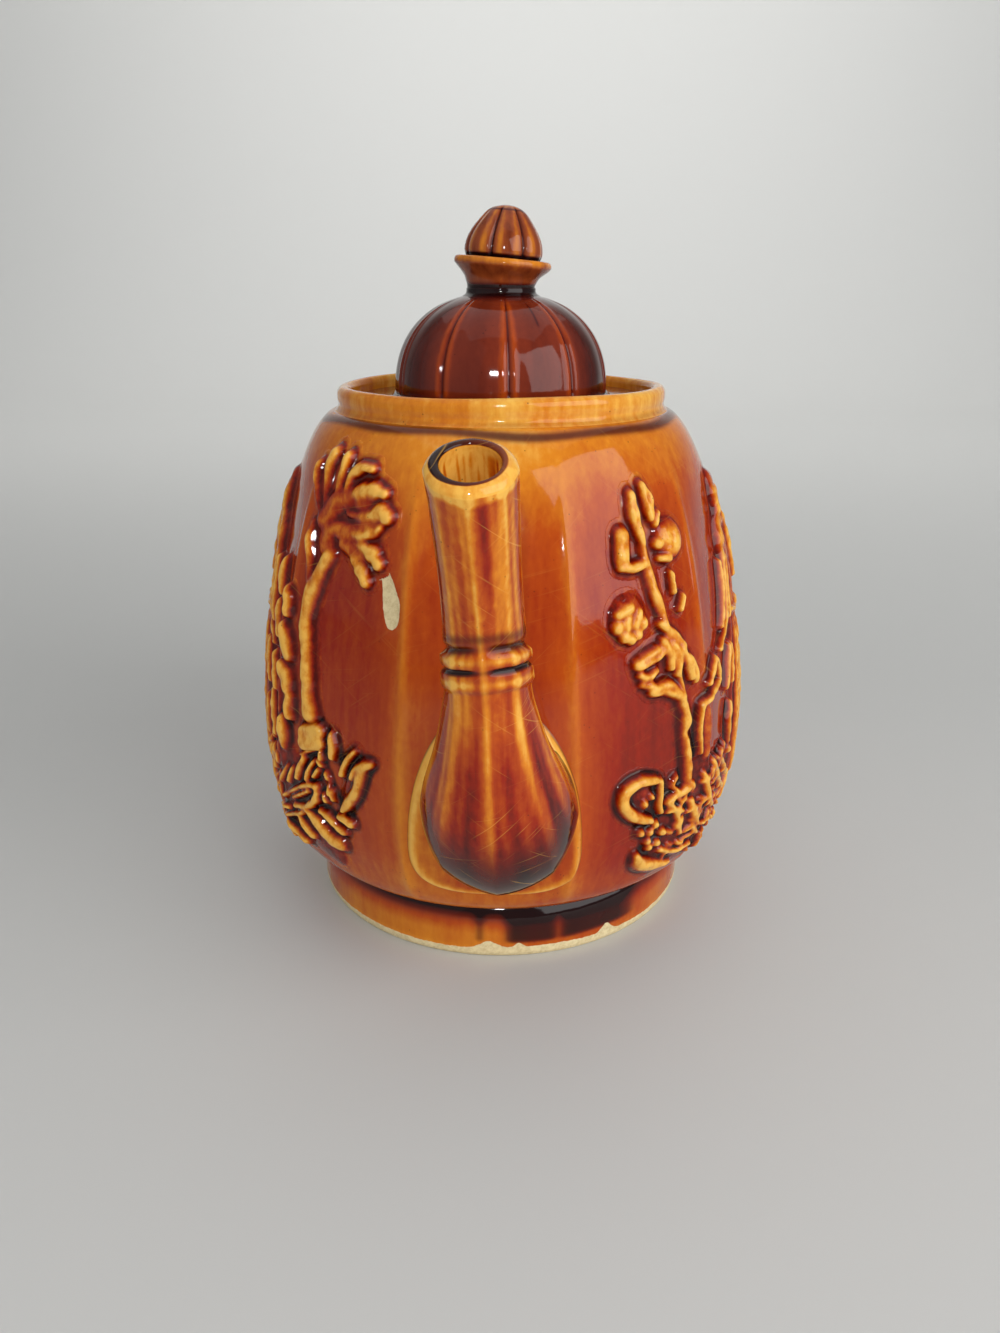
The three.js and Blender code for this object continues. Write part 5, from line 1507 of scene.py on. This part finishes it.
add_piece("lid_collar", lid_bezel(), "lid", "lid_glaze", lid_glaze, "lid_bezel")
add_piece("lid_knob_flange", knob_flange(), "lid", "knob_glaze", knob_glaze, "knob_flange")
add_piece("lid_knob_bud", knob_bud(), "lid", "knob_glaze", knob_glaze, "knob_bud")

# The strainer stays the CAD's own solid, in the pot's glaze
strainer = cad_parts["spout_strainer"]
strainer.data.materials.clear()
strainer.data.materials.append(collar_glaze)

# Stage: floor and backdrop in one sweep, lamps, world and camera
CAMERA_PLACE = (0.0154, -0.2991, 0.1755)
CAMERA_TILT = 69.83
CAMERA_TURN = 3
CAMERA_LENS = 28.09
PAPER = (0.60, 0.60, 0.58, 1)
POT_MIDDLE = (0, 0, 0.09)


def sweep():
    """A floor that curves up into a backdrop behind the pot."""
    curve = [(1.2 + 0.8 * math.sin(t), 0.8 - 0.8 * math.cos(t)) for t in np.linspace(0, math.pi / 2, 24)]
    line = [(-3.0, 0.0), *curve, (2.0, 3.2)]
    points = np.array([(x, y, z) for y, z in line for x in (-3.5, 3.5)])
    quads = np.arange(len(line) - 1)[:, None] * 2 + np.array([[0, 1, 3, 2]])
    mesh = make_mesh("sweep", points, [quads], {})
    n = Nodes("studio_paper")
    shader = n.node("ShaderNodeBsdfPrincipled")
    n.set(shader, {"Base Color": PAPER, "Roughness": 0.6})
    n.link(shader.outputs[0], n.node("ShaderNodeOutputMaterial").inputs["Surface"])
    mesh.materials.append(n.material)
    floor = bpy.data.objects.new("studio_sweep", mesh)
    bpy.context.scene.collection.objects.link(floor)


def lamp(name, place, size, power, target=POT_MIDDLE):
    """A square or oblong lamp that looks at the middle of the pot or at another target."""
    data = bpy.data.lights.new(name, "AREA")
    data.shape = "RECTANGLE"
    data.size, data.size_y = size
    data.energy = power
    made = bpy.data.objects.new(name, data)
    made.location = place
    made.rotation_euler = (Vector(target) - Vector(place)).to_track_quat("-Z", "Y").to_euler()
    bpy.context.scene.collection.objects.link(made)


def camera():
    data = bpy.data.cameras.new("camera")
    data.lens = CAMERA_LENS
    data.sensor_width = 36
    data.clip_start = 0.01
    made = bpy.data.objects.new("camera", data)
    made.location = CAMERA_PLACE
    made.rotation_euler = (math.radians(CAMERA_TILT), 0, math.radians(CAMERA_TURN))
    bpy.context.scene.collection.objects.link(made)
    bpy.context.scene.camera = made


sweep()
camera()
lamp("key", (0.86, -0.66, 0.58), (1.15, 0.95), 9.5)
lamp("fill", (-1.4, -1.0, 0.9), (2.6, 2.6), 2.6)
lamp("top", (0.0, 0.2, 1.5), (1.8, 1.8), 4.2)
lamp("front", (0.02, -0.66, 0.36), (0.05, 0.05), 1.35)
lamp("backdrop", (0.0, 0.7, 1.4), (2.0, 0.5), 22, (0, 2.0, 0.9))

world = bpy.data.worlds.new("world")
bpy.context.scene.world = world
world.use_nodes = True
background = world.node_tree.nodes["Background"]
background.inputs["Color"].default_value = (0.9, 0.92, 0.95, 1)
background.inputs["Strength"].default_value = 0.28
bpy.context.scene.view_settings.view_transform = "Standard"
